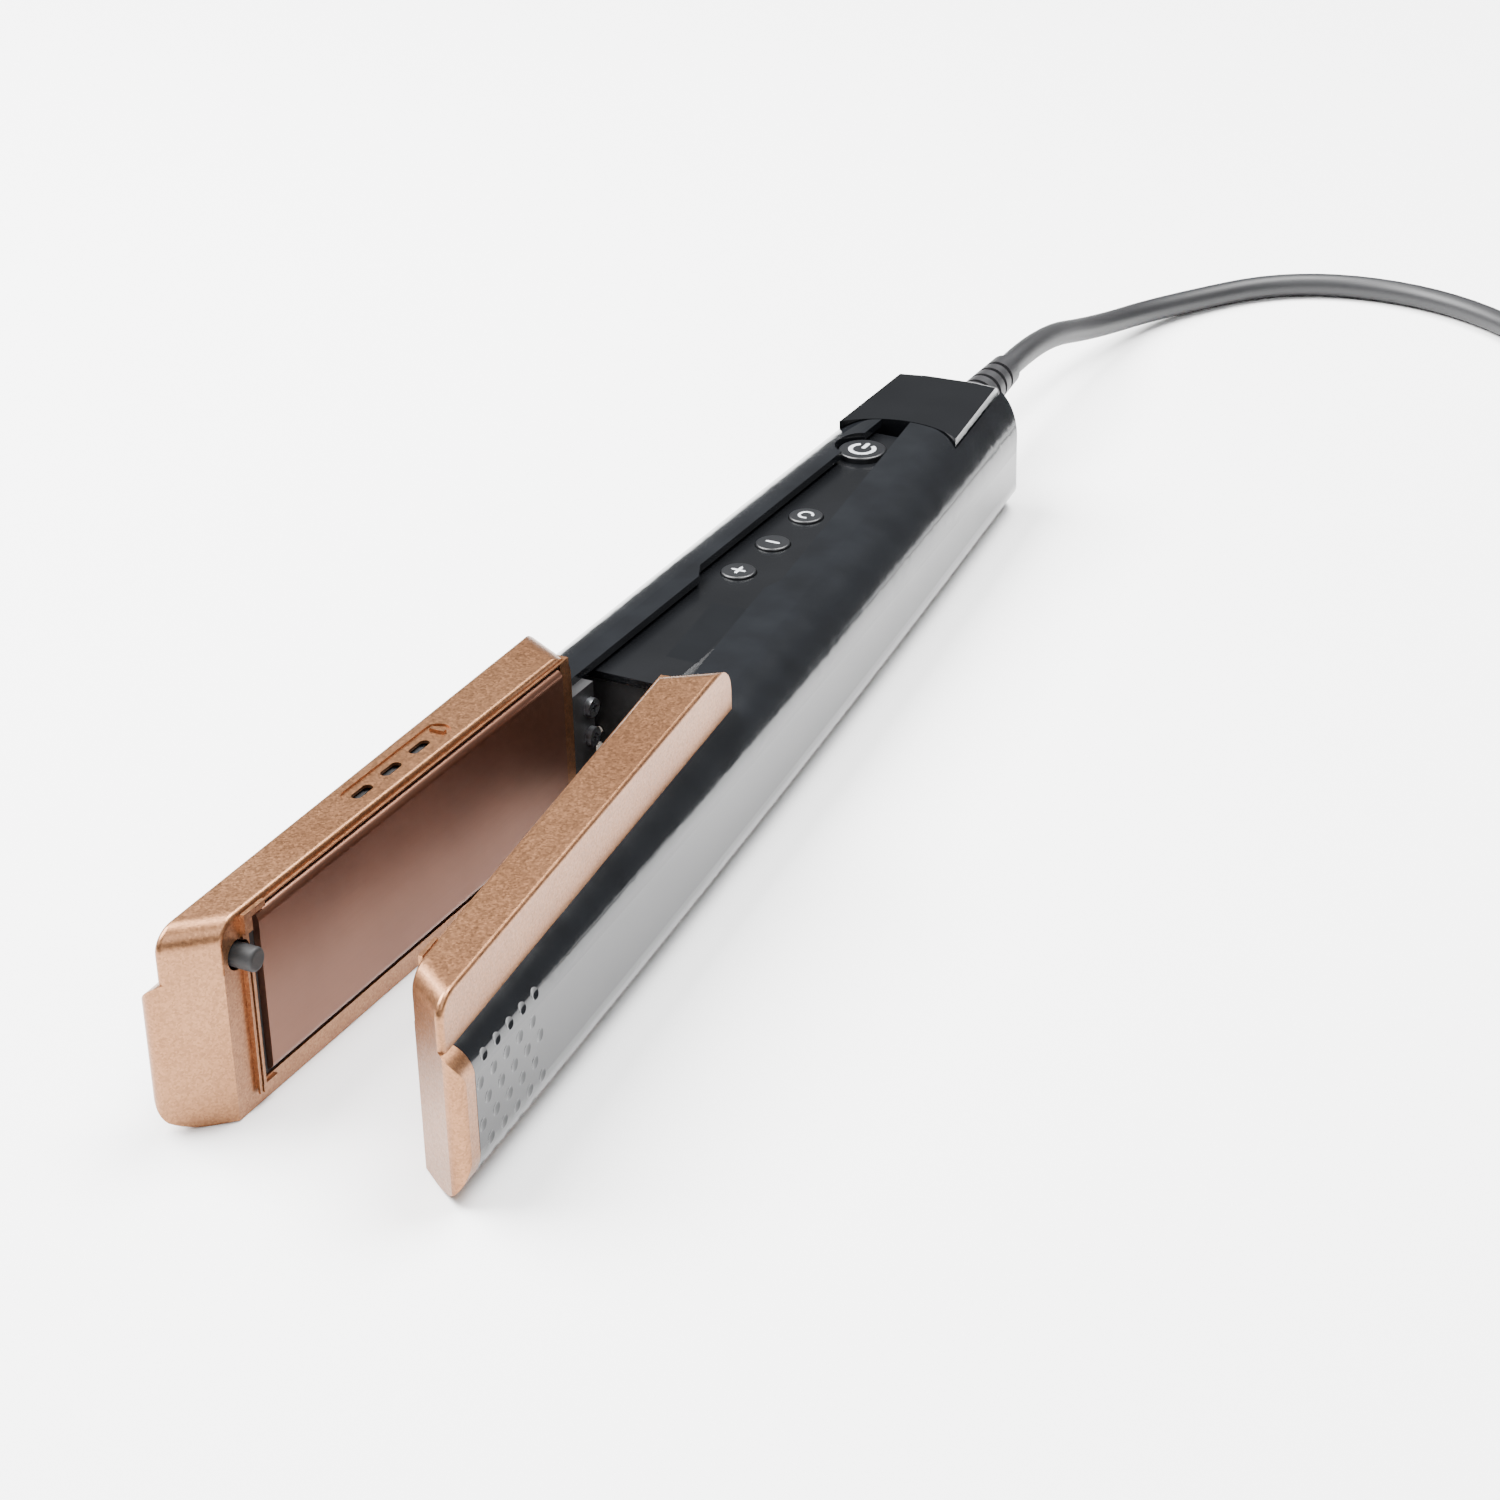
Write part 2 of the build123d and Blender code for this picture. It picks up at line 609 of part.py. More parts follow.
def build_anchor(arm):
    """Black block behind the plate that ties the jaw housing to the shell."""
    with BuildPart() as anchor:
        plan = [
            (ANCHOR_X[0], JAW_END_Y - 5.3),
            (FACE_GAP + 4.5, JAW_END_Y - 2.3),
            (BAND_REAR + 0.2, JAW_END_Y + 0.2),
            (ANCHOR_X[1], JAW_END_Y + 0.2),
            (ANCHOR_X[1], ANCHOR_REAR_Y),
            (ANCHOR_X[0], ANCHOR_REAR_Y),
        ]
        plan_block(arm, plan, WALL, BODY_HEIGHT - WALL)
        long_body(arm, 0.0, WALL, JAW_END_Y - 10.0, JAW_END_Y + 10.0, Mode.INTERSECT)
        lead_holes(arm, LEAD_X, (JAW_END_Y - 8.0, ANCHOR_REAR_Y + 1.0))
        screw_holes(arm)
    return anchor


def screw_face(arm, depth):
    """The plane square to the closing plane in which both anchor screws are set."""
    return arm.facing(depth, JAW_END_Y + 1.2, SCREW_ZS[0])


def screw_holes(arm):
    """Two holes in the anchor for its screws."""
    with BuildSketch(screw_face(arm, ANCHOR_X[0])) as holes:
        with Locations((0.0, 0.0), (0.0, SCREW_ZS[1] - SCREW_ZS[0])):
            Circle(SCREW_RADIUS)
    extrude(holes.sketch, amount=9.0, mode=Mode.SUBTRACT)


def build_screws(arm):
    """Two round-headed screws with cross recesses in the anchor."""
    with BuildPart() as screws:
        spots = [(0.0, 0.0), (0.0, SCREW_ZS[1] - SCREW_ZS[0])]
        with BuildSketch(screw_face(arm, ANCHOR_X[0])) as shanks:
            with Locations(*spots):
                Circle(SCREW_RADIUS)
        extrude(shanks.sketch, amount=9.0)
        with BuildSketch(screw_face(arm, ANCHOR_X[0])) as heads:
            with Locations(*spots):
                Circle(SCREW_HEAD)
        extrude(heads.sketch, amount=-1.3)
        with BuildSketch(screw_face(arm, ANCHOR_X[0] - 1.3)) as recesses:
            with Locations(*spots):
                Rectangle(2.2, 0.5)
                Rectangle(0.5, 2.2)
        extrude(recesses.sketch, amount=0.7, mode=Mode.SUBTRACT)
    return screws


def tube(points, radius, bend):
    """A round wire along straight runs joined by arcs of one radius."""
    with BuildPart() as wire:
        with BuildLine() as path:
            FilletPolyline(*points, radius=bend)
        start = path.wires()[0]
        with BuildSketch(Plane(origin=start @ 0, z_dir=start % 0)) as section:
            Circle(radius)
        sweep(section.sketch, path=start)
    return wire


def build_leads(arm):
    """Two sleeved heater leads; the right arm's run along its outer wall to the hinge."""
    front = CAVITY_REAR_Y - 3.0
    with BuildPart() as leads:
        for z in LEAD_ZS:
            if arm is LEFT:
                with BuildSketch(arm.across(CORE_FRONT_Y + 8.0)) as end:
                    with Locations((arm.side * LEAD_X, z)):
                        Circle(LEAD_RADIUS)
                extrude(end.sketch, amount=CORE_FRONT_Y + 8.0 - front)
            else:
                lead_points = [
                    arm.place(LEAD_X, front, z),
                    arm.place(LEAD_X, ANCHOR_REAR_Y + 1.0, z),
                    arm.place(16.2, ANCHOR_REAR_Y + 2.0, z),
                    arm.place(17.6, BRACKET_HALF - 24.0, z),
                ]
                add(tube(lead_points, LEAD_RADIUS, 2.5).part)
    return leads


def knuckle(band_z, mode=Mode.ADD):
    """A round hinge knuckle about the pin between two heights."""
    with BuildSketch(Plane.XY.offset(band_z[0])) as disc:
        Circle(KNUCKLE_RADIUS)
    extrude(disc.sketch, amount=band_z[1] - band_z[0], mode=mode)


def pin_bore(radius):
    """The bore along the hinge axis."""
    with BuildSketch(Plane.XY) as bore:
        Circle(radius)
    extrude(bore.sketch, amount=BODY_HEIGHT, mode=Mode.SUBTRACT)


def build_bracket():
    """Hinge bracket of the right arm: a knuckle on an arm bonded to the shell's inner wall."""
    with BuildPart() as bracket:
        long_body(RIGHT, 0.0, WALL, -BRACKET_HALF, BRACKET_HALF)
        box_between(RIGHT, (0.0, 30.0), (-BRACKET_HALF, BRACKET_HALF), RIGHT_KNUCKLE, Mode.INTERSECT)
        knuckle(RIGHT_KNUCKLE)
        pin_bore(PIN_RADIUS + PIN_CLEARANCE)
    return bracket


def fit_between_shells(front_y, rear_y):
    """Trims a core sub-part to the room inside both shells when the iron is shut."""
    long_body(LEFT, -CORE_RIGHT - 1.0, WALL, front_y - 5.0, rear_y + 5.0, Mode.INTERSECT)
    long_body(RIGHT_OF_LEFT, CORE_LEFT - 1.0, WALL + CORE_CLEARANCE, front_y - 5.0, rear_y + 5.0, Mode.INTERSECT)


def build_core():
    """Core frame on the left arm: a tray for the circuit board, then the two fixed hinge knuckles."""
    wall = CORE_WALL
    with BuildPart() as core:
        box_between(
            RIGHT_OF_LEFT, (CORE_LEFT, CORE_RIGHT), (CORE_FRONT_Y, CORE_REAR_Y), (CORE_FLOOR, PANEL_TOP - PANEL_THICK)
        )
        box_between(
            RIGHT_OF_LEFT,
            (CORE_LEFT + wall, CORE_RIGHT - wall),
            (CORE_FRONT_Y + wall, CORE_REAR_Y - wall),
            (CORE_FLOOR + wall, BODY_HEIGHT),
            Mode.SUBTRACT,
        )
        web_rear = PANEL_REAR_Y - 3.6
        web_top = PANEL_TOP - PANEL_THICK
        web = (CORE_LEFT, CORE_LEFT + WEB_WIDTH)
        box_between(RIGHT_OF_LEFT, web, (CORE_REAR_Y - 1.0, web_rear), (CORE_FLOOR, web_top))
        for band_z in (LOWER_KNUCKLE, UPPER_KNUCKLE):
            knuckle(band_z)
            box_between(RIGHT_OF_LEFT, (CORE_LEFT, 0.0), (-KNUCKLE_RADIUS, KNUCKLE_RADIUS), band_z)
        lead_holes(LEFT, LEAD_X, (CORE_FRONT_Y - 1.0, CORE_FRONT_Y + wall + 1.0))
        pin_bore(PIN_RADIUS)
        fit_between_shells(CORE_FRONT_Y, web_rear)
    return core


# The fixed arm's axes with x counted to the right, for what straddles the closing plane
RIGHT_OF_LEFT = Arm("core", 1, 0.0)


def key_spots():
    """Centres of the three round keys."""
    return [(KEY_X, KEY_FIRST_Y + number * KEY_PITCH) for number in range(len(KEY_NAMES))]


def build_panel():
    """Control panel on top of the core, with holes for the keys and the display window."""
    with BuildPart() as panel:
        plan = [
            (CORE_LEFT, CORE_FRONT_Y - 0.6),
            (CORE_RIGHT, CORE_FRONT_Y - 0.6),
            (CORE_RIGHT, CORE_REAR_Y - 2.0),
            (8.0, CORE_REAR_Y + 5.0),
            (8.0, PANEL_REAR_Y - 4.0),
            (4.0, PANEL_REAR_Y),
            (-8.0, PANEL_REAR_Y),
            (CORE_LEFT, PANEL_REAR_Y - 4.0),
        ]
        plan_block(RIGHT_OF_LEFT, plan, PANEL_TOP - PANEL_THICK, PANEL_TOP)
        fit_between_shells(CORE_FRONT_Y, PANEL_REAR_Y)
        plan_block(RIGHT_OF_LEFT, DISPLAY_PLAN, PANEL_TOP - PANEL_THICK - 1.0, PANEL_TOP + 1.0, Mode.SUBTRACT)
        with BuildSketch(Plane.XY.offset(PANEL_TOP + 1.0)) as holes:
            with Locations(*key_spots()):
                Circle(KEY_RADIUS + RUNNING_GAP)
            with Locations((POWER_X, POWER_Y)):
                Circle(POWER_RADIUS + RUNNING_GAP)
        extrude(holes.sketch, amount=-(PANEL_THICK + 2.0), mode=Mode.SUBTRACT)
    return panel


def build_window():
    """Dark display window set flush in the panel."""
    with BuildPart() as window:
        plan_block(RIGHT_OF_LEFT, DISPLAY_PLAN, PANEL_TOP - PANEL_THICK, PANEL_TOP)
    return window


def build_display():
    """Display module on the board below the window."""
    with BuildPart() as display:
        box_between(RIGHT_OF_LEFT, (2.0, 10.5), (-102.0, -78.0), (BOARD_Z + BOARD_THICK, PANEL_TOP - PANEL_THICK))
    return display


def build_key(spot, radius, top):
    """A round key with a domed top and a flange that keeps it under the panel."""
    flange_top = PANEL_TOP - PANEL_THICK - 0.05
    dome = 0.5
    with BuildPart() as key:
        with BuildSketch(Plane.XY.offset(flange_top - FLANGE)) as foot:
            with Locations(spot):
                Circle(radius + FLANGE)
        extrude(foot.sketch, amount=FLANGE)
        with BuildSketch(Plane.XY.offset(flange_top)) as stem:
            with Locations(spot):
                Circle(radius)
        extrude(stem.sketch, amount=top - flange_top)
        fillet(key.edges().group_by(Axis.Z)[-1], radius=dome)
    return key


def build_board():
    """Circuit board of the core, under the display and the three small keys."""
    with BuildPart() as board:
        plan = [
            (CORE_LEFT + 2.0, CORE_FRONT_Y + 2.0),
            (CORE_RIGHT - 2.0, CORE_FRONT_Y + 2.0),
            (CORE_RIGHT - 2.0, CORE_REAR_Y - 2.0),
            (CORE_LEFT + 2.0, CORE_REAR_Y - 2.0),
        ]
        plan_block(RIGHT_OF_LEFT, plan, BOARD_Z, BOARD_Z + BOARD_THICK)
    return board


def build_power_board():
    """Small second board above the hinge that carries the power switch."""
    with BuildPart() as board:
        box_between(RIGHT_OF_LEFT, (CORE_LEFT + WEB_WIDTH, 3.0), (-3.0, 12.5), (BOARD_Z, BOARD_Z + BOARD_THICK))
    return board


def build_switches():
    """Four tactile switches, one under each key."""
    with BuildPart() as switches:
        spots = key_spots() + [(POWER_X, POWER_Y)]
        with BuildSketch(Plane.XY.offset(BOARD_Z + BOARD_THICK)) as bodies:
            with Locations(*spots):
                Rectangle(4.5, 4.5)
        extrude(bodies.sketch, amount=SWITCH_HEIGHT - 0.8)
        with BuildSketch(Plane.XY.offset(BOARD_Z + BOARD_THICK + SWITCH_HEIGHT - 0.8)) as plungers:
            with Locations(*spots):
                Circle(1.3)
        extrude(plungers.sketch, amount=0.8)
    return switches


def build_power_parts():
    """Power parts under the board: a relay, a capacitor and two triacs."""
    with BuildPart() as parts:
        box_between(RIGHT_OF_LEFT, (-9.0, 6.0), (-48.0, -29.0), (BOARD_Z - 12.0, BOARD_Z))
        box_between(RIGHT_OF_LEFT, (-10.0, -4.5), (-66.0, -56.0), (BOARD_Z - 14.0, BOARD_Z))
        box_between(RIGHT_OF_LEFT, (1.0, 6.5), (-66.0, -56.0), (BOARD_Z - 14.0, BOARD_Z))
        with BuildSketch(Plane.XY.offset(BOARD_Z)) as can:
            with Locations((0.0, -82.0)):
                Circle(5.0)
        extrude(can.sketch, amount=-14.0)
    return parts


def build_pin():
    """Steel hinge pin through all the knuckles."""
    with BuildPart() as pin:
        with BuildSketch(Plane.XY.offset(LOWER_KNUCKLE[0])) as end:
            Circle(PIN_RADIUS)
        extrude(end.sketch, amount=UPPER_KNUCKLE[1] - LOWER_KNUCKLE[0])
    return pin


def build_spring():
    """Spring round the pin, between the two lower knuckles: close turns without legs."""
    wire_radius = 0.5
    coil_radius = 4.2
    turns = 2.5
    low = SPRING_BAND[0] + wire_radius + 0.05
    with BuildPart() as spring:
        with BuildLine() as path:
            Helix(pitch=1.05, height=1.05 * turns, radius=coil_radius, center=(0, 0, low))
        line = path.wires()[0]
        with BuildSketch(Plane(origin=line @ 0, z_dir=line % 0)) as section:
            Circle(wire_radius)
        sweep(section.sketch, path=line)
    return spring


TAIL = Plane.XY.rotated((0, 0, OPEN_ANGLE / 2))


def build_cap():
    """Matt tail cap between the arms' tails, hollowed in front round the hinge and bored for the swivel."""
    arc_radius = TURN_RADIUS + 0.4
    side_y = math.sqrt(arc_radius**2 - CAP_HALF**2)
    left_front = LEFT.place(CAP_HALF, side_y, 0)
    right_half = CAP_HALF - TAIL_GAP
    right_front = RIGHT.place(right_half, math.sqrt(arc_radius**2 - right_half**2), 0)
    left_rear = LEFT.place(CAP_HALF, TAIL_Y - 2.0, 0)
    right_rear = RIGHT.place(right_half, TAIL_Y - 2.0, 0)
    middle_front = TAIL.from_local_coords((0, arc_radius, 0))
    rear_y = TAIL_Y
    with BuildPart() as cap:
        with BuildSketch(Plane.XY) as plan:
            with BuildLine():
                ThreePointArc(left_front, middle_front, right_front)
                Line(right_front, right_rear)
                Line(right_rear, TAIL.from_local_coords((6.0, rear_y, 0)))
                Line(TAIL.from_local_coords((6.0, rear_y, 0)), TAIL.from_local_coords((-6.0, rear_y, 0)))
                Line(TAIL.from_local_coords((-6.0, rear_y, 0)), left_rear)
                Line(left_rear, left_front)
            make_face()
        extrude(plan.sketch, amount=BODY_HEIGHT)
        rear_edges = cap.edges().group_by(Axis.Z)[-1].sort_by(Axis.Y)[-3:]
        fillet(rear_edges, radius=2.5)
        with BuildSketch(tail_across(rear_y + 1.0)) as bore:
            with Locations((0.0, CORD_Z)):
                Circle(NECK_RADIUS + PIN_CLEARANCE)
        extrude(bore.sketch, amount=REAR_WALL + 2.0, mode=Mode.SUBTRACT)
        with BuildSketch(tail_across(rear_y - REAR_WALL)) as room:
            with Locations((0.0, CORD_Z)):
                Circle(FLANGE_RADIUS + SWIVEL_PLAY)
        extrude(room.sketch, amount=rear_y, mode=Mode.SUBTRACT)
    return cap


def tail_across(y):
    """The upright plane across the tail, facing forward."""
    origin = TAIL.from_local_coords((0, y, 0))
    return Plane(origin=origin, x_dir=TAIL.x_dir, z_dir=-TAIL.y_dir)


def build_swivel():
    """Cord swivel: a flange held behind the cap's rear wall, on a neck through it."""
    flange_thick = 3.0
    with BuildPart() as swivel:
        with BuildSketch(tail_across(TAIL_Y - REAR_WALL - 0.2)) as flange:
            with Locations((0.0, CORD_Z)):
                Circle(FLANGE_RADIUS)
        extrude(flange.sketch, amount=flange_thick)
        with BuildSketch(tail_across(TAIL_Y + 0.3)) as neck:
            with Locations((0.0, CORD_Z)):
                Circle(NECK_RADIUS)
        extrude(neck.sketch, amount=REAR_WALL + 0.5)
    return swivel


def build_relief():
    """Tapered, ribbed strain relief on the swivel's neck."""
    root = 5.6
    tip = CORD_RADIUS + 0.9
    ribs = 6
    with BuildPart() as relief:
        with BuildSketch(tail_across(TAIL_Y + 0.3)) as foot:
            with Locations((0.0, CORD_Z)):
                Circle(root)
        with BuildSketch(tail_across(TAIL_Y + 0.3 + RELIEF_LENGTH)) as end:
            with Locations((0.0, CORD_Z)):
                Circle(tip)
        loft([foot.sketch, end.sketch])
        for number in range(ribs):
            y = TAIL_Y + 7.0 + number * 4.6
            size = root + (tip - root) * (y - TAIL_Y) / RELIEF_LENGTH
            with BuildSketch(tail_across(y)) as groove:
                with Locations((0.0, CORD_Z)):
                    Circle(root + 1.0)
                    Circle(size - 0.7, mode=Mode.SUBTRACT)
            extrude(groove.sketch, amount=1.4, mode=Mode.SUBTRACT)
    return relief


RELIEF_END = TAIL.from_local_coords((0, TAIL_Y + 0.3 + RELIEF_LENGTH, CORD_Z))

EXIT_END = TAIL.from_local_coords((0, TAIL_Y + 0.3 + RELIEF_LENGTH + EXIT_RUN, CORD_Z))

# The cord lies on the floor from the strain relief to a coil, and from the coil to the plug
CORD_ROUTE = [
    (RELIEF_END.X, RELIEF_END.Y, RELIEF_END.Z),
    (EXIT_END.X, EXIT_END.Y, EXIT_END.Z),
    (-7.2, 143.0, 8.0),
    (-2.0, 176.0, CORD_RADIUS),
    (24.0, 212.0, CORD_RADIUS),
    (70.0, 214.0, CORD_RADIUS),
    (114.0, 181.0, CORD_RADIUS),
    (COIL_X, COIL_Y + OUTER_TURN, CORD_RADIUS),
]
TAIL_ROUTE = [
    (COIL_X + OUTER_TURN, COIL_Y, COIL_HEIGHT - CORD_RADIUS),
    (COIL_X + OUTER_TURN - 0.6, 104.0, COIL_HEIGHT - CORD_RADIUS - 5.5),
    (PLUG_X, 79.0, PLUG_HEIGHT / 2),
    (PLUG_X, PLUG_Y, PLUG_HEIGHT / 2),
]


def bend_radii(points):
    """Radius of the arc at each inner corner: 0.45 of the shorter run over the tangent of half the turn."""
    vectors = [Vector(*point) for point in points]
    radii = []
    for before, corner, after in zip(vectors, vectors[1:], vectors[2:]):
        turn = math.radians((corner - before).get_angle(after - corner))
        radii.append(0.45 * min((corner - before).length, (after - corner).length) / math.tan(turn / 2))
    print("cord radii in mm:", [round(radius, 1) for radius in radii])
    return radii


def build_cord(points):
    """A stretch of the cord: a round tube along its route."""
    with BuildPart() as cord:
        with BuildLine() as path:
            FilletPolyline(*points, radius=bend_radii(points))
        line = path.wires()[0]
        with BuildSketch(Plane(origin=line @ 0, z_dir=line % 0)) as section:
            Circle(CORD_RADIUS)
        sweep(section.sketch, path=line)
    return cord


def build_coil():
    """The put-away cord: one closed ring of the coil's outer shape."""
    with BuildPart() as coil:
        with BuildSketch(Plane.XY) as plan:
            with Locations((COIL_X, COIL_Y)):
                Circle(COIL_MEAN + COIL_WIDTH / 2)
                Circle(COIL_MEAN - COIL_WIDTH / 2, mode=Mode.SUBTRACT)
        extrude(plan.sketch, amount=COIL_HEIGHT)
        fillet(coil.edges(), radius=CORD_RADIUS * 0.9)
    return coil


def build_tie():
    """Soft strap round the coil, open below where the coil lies on the floor."""
    with BuildPart() as tie:
        with BuildSketch(Plane.XZ.offset(-COIL_Y + TIE_WIDTH / 2)) as outer:
            with Locations((COIL_X - COIL_MEAN, COIL_HEIGHT / 2)):
                RectangleRounded(COIL_WIDTH + 2 * TIE_THICK, COIL_HEIGHT + 2 * TIE_THICK, radius=3.0)
        extrude(outer.sketch, amount=-TIE_WIDTH)
        split(bisect_by=Plane.XY, keep=Keep.TOP)
        add(build_coil().part, mode=Mode.SUBTRACT)
    return tie


def build_plug():
    """Moulded two-pin plug body with a waist for the fingers."""
    with BuildPart() as plug:
        with BuildSketch(Plane.XZ.offset(-PLUG_Y)) as rear:
            with Locations((PLUG_X, PLUG_HEIGHT / 2)):
                RectangleRounded(11.0, 11.0, radius=3.0)
        with BuildSketch(Plane.XZ.offset(-PLUG_Y + PLUG_LENGTH * 0.45)) as waist:
            with Locations((PLUG_X, PLUG_HEIGHT / 2)):
                RectangleRounded(19.0, 12.0, radius=4.0)
        with BuildSketch(Plane.XZ.offset(-PLUG_Y + PLUG_LENGTH)) as front:
            with Locations((PLUG_X, PLUG_HEIGHT / 2)):
                RectangleRounded(24.0, PLUG_HEIGHT, radius=4.0)
        loft([rear.sketch, waist.sketch, front.sketch])
    return plug


def build_blades():
    """The plug's two flat pins."""
    with BuildPart() as blades:
        with BuildSketch(Plane.XZ.offset(-PLUG_Y + PLUG_LENGTH)) as feet:
            with Locations((PLUG_X, PLUG_HEIGHT / 2)):
                with GridLocations(BLADE_PITCH, 1.0, 2, 1):
                    Rectangle(1.5, 6.3)
        extrude(feet.sketch, amount=BLADE_LENGTH)
    return blades


def build_guide_pin():
    """Rubber guide pin of the left tip: a collar in the housing and a rod that reaches into the right tip."""
    with BuildPart() as pin:
        with BuildSketch(LEFT.facing(SOCKET_DEPTH, PIN_Y, PIN_Z)) as foot:
            Circle(SOCKET_RADIUS - 0.1)
        extrude(foot.sketch, amount=-2.0)
        with BuildSketch(LEFT.facing(SOCKET_DEPTH - 1.0, PIN_Y, PIN_Z)) as rod:
            Circle(GUIDE_RADIUS)
        extrude(rod.sketch, amount=-(SOCKET_DEPTH - 1.0 + GUIDE_REACH))
        fillet(pin.edges().sort_by(Axis.X)[-1], radius=0.7)
    return pin


os.makedirs("parts", exist_ok=True)
ARM_PIECES = {
    "jaw_housing": build_finished_housing,
    "outer_shell": build_shell,
    "heating_plate": build_plate,
    "plate_bezel": build_frame,
    "plate_gasket": build_gasket,
    "heater": build_heater,
    "heater_clip": build_clip,
    "thermal_fuse": build_fuse,
    "plate_carrier": build_carrier,
    "cushions": build_cushions,
    "jaw_anchor": build_anchor,
    "anchor_screws": build_screws,
    "heater_leads": build_leads,
}
for each in ARMS:
    for piece_name, build in ARM_PIECES.items():
        save(build(each), f"{piece_name}_{each.name}")

ROOT_PIECES = {
    "guide_pin": build_guide_pin,
    "hinge_bracket": build_bracket,
    "hinge_pin": build_pin,
    "hinge_spring": build_spring,
    "core_frame": build_core,
    "control_panel": build_panel,
    "display_window": build_window,
    "display_module": build_display,
    "main_board": build_board,
    "power_board": build_power_board,
    "key_switches": build_switches,
    "power_parts": build_power_parts,
    "tail_cap": build_cap,
    "cord_swivel": build_swivel,
    "strain_relief": build_relief,
    "cord_coil": build_coil,
    "cord_tie": build_tie,
    "plug_body": build_plug,
    "plug_blades": build_blades,
}
for piece_name, build in ROOT_PIECES.items():
    save(build(), piece_name)
for key_name, key_spot in zip(KEY_NAMES, key_spots()):
    save(build_key(key_spot, KEY_RADIUS, KEY_TOP), f"button_{key_name}")
save(build_key((POWER_X, POWER_Y), POWER_RADIUS, POWER_TOP), "button_power")
save(build_cord(CORD_ROUTE), "cord")
save(build_cord(TAIL_ROUTE), "cord_end")
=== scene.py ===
"""Builds the look of a hair straightener that lies open on its side, on a frame packed from its CAD model."""
import math

import bpy
import numpy as np
from mathutils import Matrix, Vector


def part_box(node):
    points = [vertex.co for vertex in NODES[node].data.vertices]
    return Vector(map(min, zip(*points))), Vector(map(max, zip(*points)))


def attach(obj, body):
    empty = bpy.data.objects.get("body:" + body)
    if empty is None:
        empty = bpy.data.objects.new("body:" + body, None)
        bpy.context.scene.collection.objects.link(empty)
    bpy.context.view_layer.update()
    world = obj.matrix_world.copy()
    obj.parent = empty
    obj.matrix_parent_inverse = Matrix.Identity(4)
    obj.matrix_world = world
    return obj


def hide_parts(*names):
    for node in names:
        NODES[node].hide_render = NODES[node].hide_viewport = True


bl_info = {
    "name": "Flat Iron",
    "version": (1, 0, 0),
    "blender": (4, 5, 0),
    "location": "View3D > Sidebar > Flat Iron",
    "description": "Materials, small parts, cord and studio for a hair straightener",
    "category": "Object",
}

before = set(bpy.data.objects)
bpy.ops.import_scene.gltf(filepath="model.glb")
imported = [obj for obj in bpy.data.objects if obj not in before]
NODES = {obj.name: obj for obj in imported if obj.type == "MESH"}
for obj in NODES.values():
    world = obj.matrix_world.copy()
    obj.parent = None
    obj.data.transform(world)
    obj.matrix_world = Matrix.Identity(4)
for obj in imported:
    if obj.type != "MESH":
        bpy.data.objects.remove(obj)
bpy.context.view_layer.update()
MM = 0.001
SIDES = ("left", "right")
TAIL_TURN = math.radians(4.0)


# ---------------------------------------------------------------- colours and nodes


def linear(hex_text):
    """Linear RGBA of an sRGB hex colour: below 0.04045 a division, above it the 2.4 power curve."""
    channels = np.array([int(hex_text[i : i + 2], 16) for i in (1, 3, 5)]) / 255.0
    curve = np.where(channels <= 0.04045, channels / 12.92, ((channels + 0.055) / 1.055) ** 2.4)
    return (*curve.tolist(), 1.0)


def add_node(tree, kind, inputs=None, **settings):
    """Adds a node; inputs maps a socket's name or number to a value or to (node, output)."""
    made = tree.nodes.new(kind)
    for name, value in settings.items():
        setattr(made, name, value)
    for socket, value in (inputs or {}).items():
        if isinstance(value, tuple) and isinstance(value[0], bpy.types.Node):
            tree.links.new(value[0].outputs[value[1]], made.inputs[socket])
        else:
            made.inputs[socket].default_value = value
    return made


def start_material(name, **shader_inputs):
    """A new material: its tree, its one Principled shader with constant inputs, and object coordinates."""
    material = bpy.data.materials.new(name)
    material.use_nodes = True
    tree = material.node_tree
    tree.nodes.clear()
    shader = add_node(tree, "ShaderNodeBsdfPrincipled", shader_inputs)
    add_node(tree, "ShaderNodeOutputMaterial", {"Surface": (shader, "BSDF")})
    coords = add_node(tree, "ShaderNodeTexCoord")
    return material, tree, shader, coords


def per_metre(size_mm):
    """Texture scale for a pattern whose features are size_mm apart."""
    return 1.0 / (size_mm * MM)


def opaque(colour):
    """A settings colour as RGBA."""
    return (*colour, 1.0)


def cloudy(tree, coords, size_mm, detail=2.0):
    """Noise over the piece's own coordinates, its features about size_mm apart."""
    inputs = {"Vector": (coords, "Object"), "Scale": per_metre(size_mm), "Detail": detail}
    return add_node(tree, "ShaderNodeTexNoise", inputs)


def tone_from(tree, pattern, dark, light):
    """A colour between dark and light, by a pattern's factor."""
    return add_node(tree, "ShaderNodeMix", {"Factor": (pattern, "Fac"), 6: dark, 7: light}, data_type="RGBA")


def range_from(tree, pattern, low, high, output="Fac"):
    """A number between low and high, by a pattern's output."""
    return add_node(tree, "ShaderNodeMapRange", {"Value": (pattern, output), "To Min": low, "To Max": high})


def relief_from(tree, pattern, strength, height_mm, output="Fac"):
    """A bump of up to height_mm, by a pattern's output."""
    inputs = {"Height": (pattern, output), "Strength": strength, "Distance": height_mm * MM}
    return add_node(tree, "ShaderNodeBump", inputs)


def finish_shader(tree, shader, tone, rough, relief=None):
    """Links a finish to its shader; tone is a (node, output) pair."""
    tree.links.new(tone[0].outputs[tone[1]], shader.inputs["Base Color"])
    tree.links.new(rough.outputs["Result"], shader.inputs["Roughness"])
    if relief is not None:
        tree.links.new(relief.outputs["Normal"], shader.inputs["Normal"])


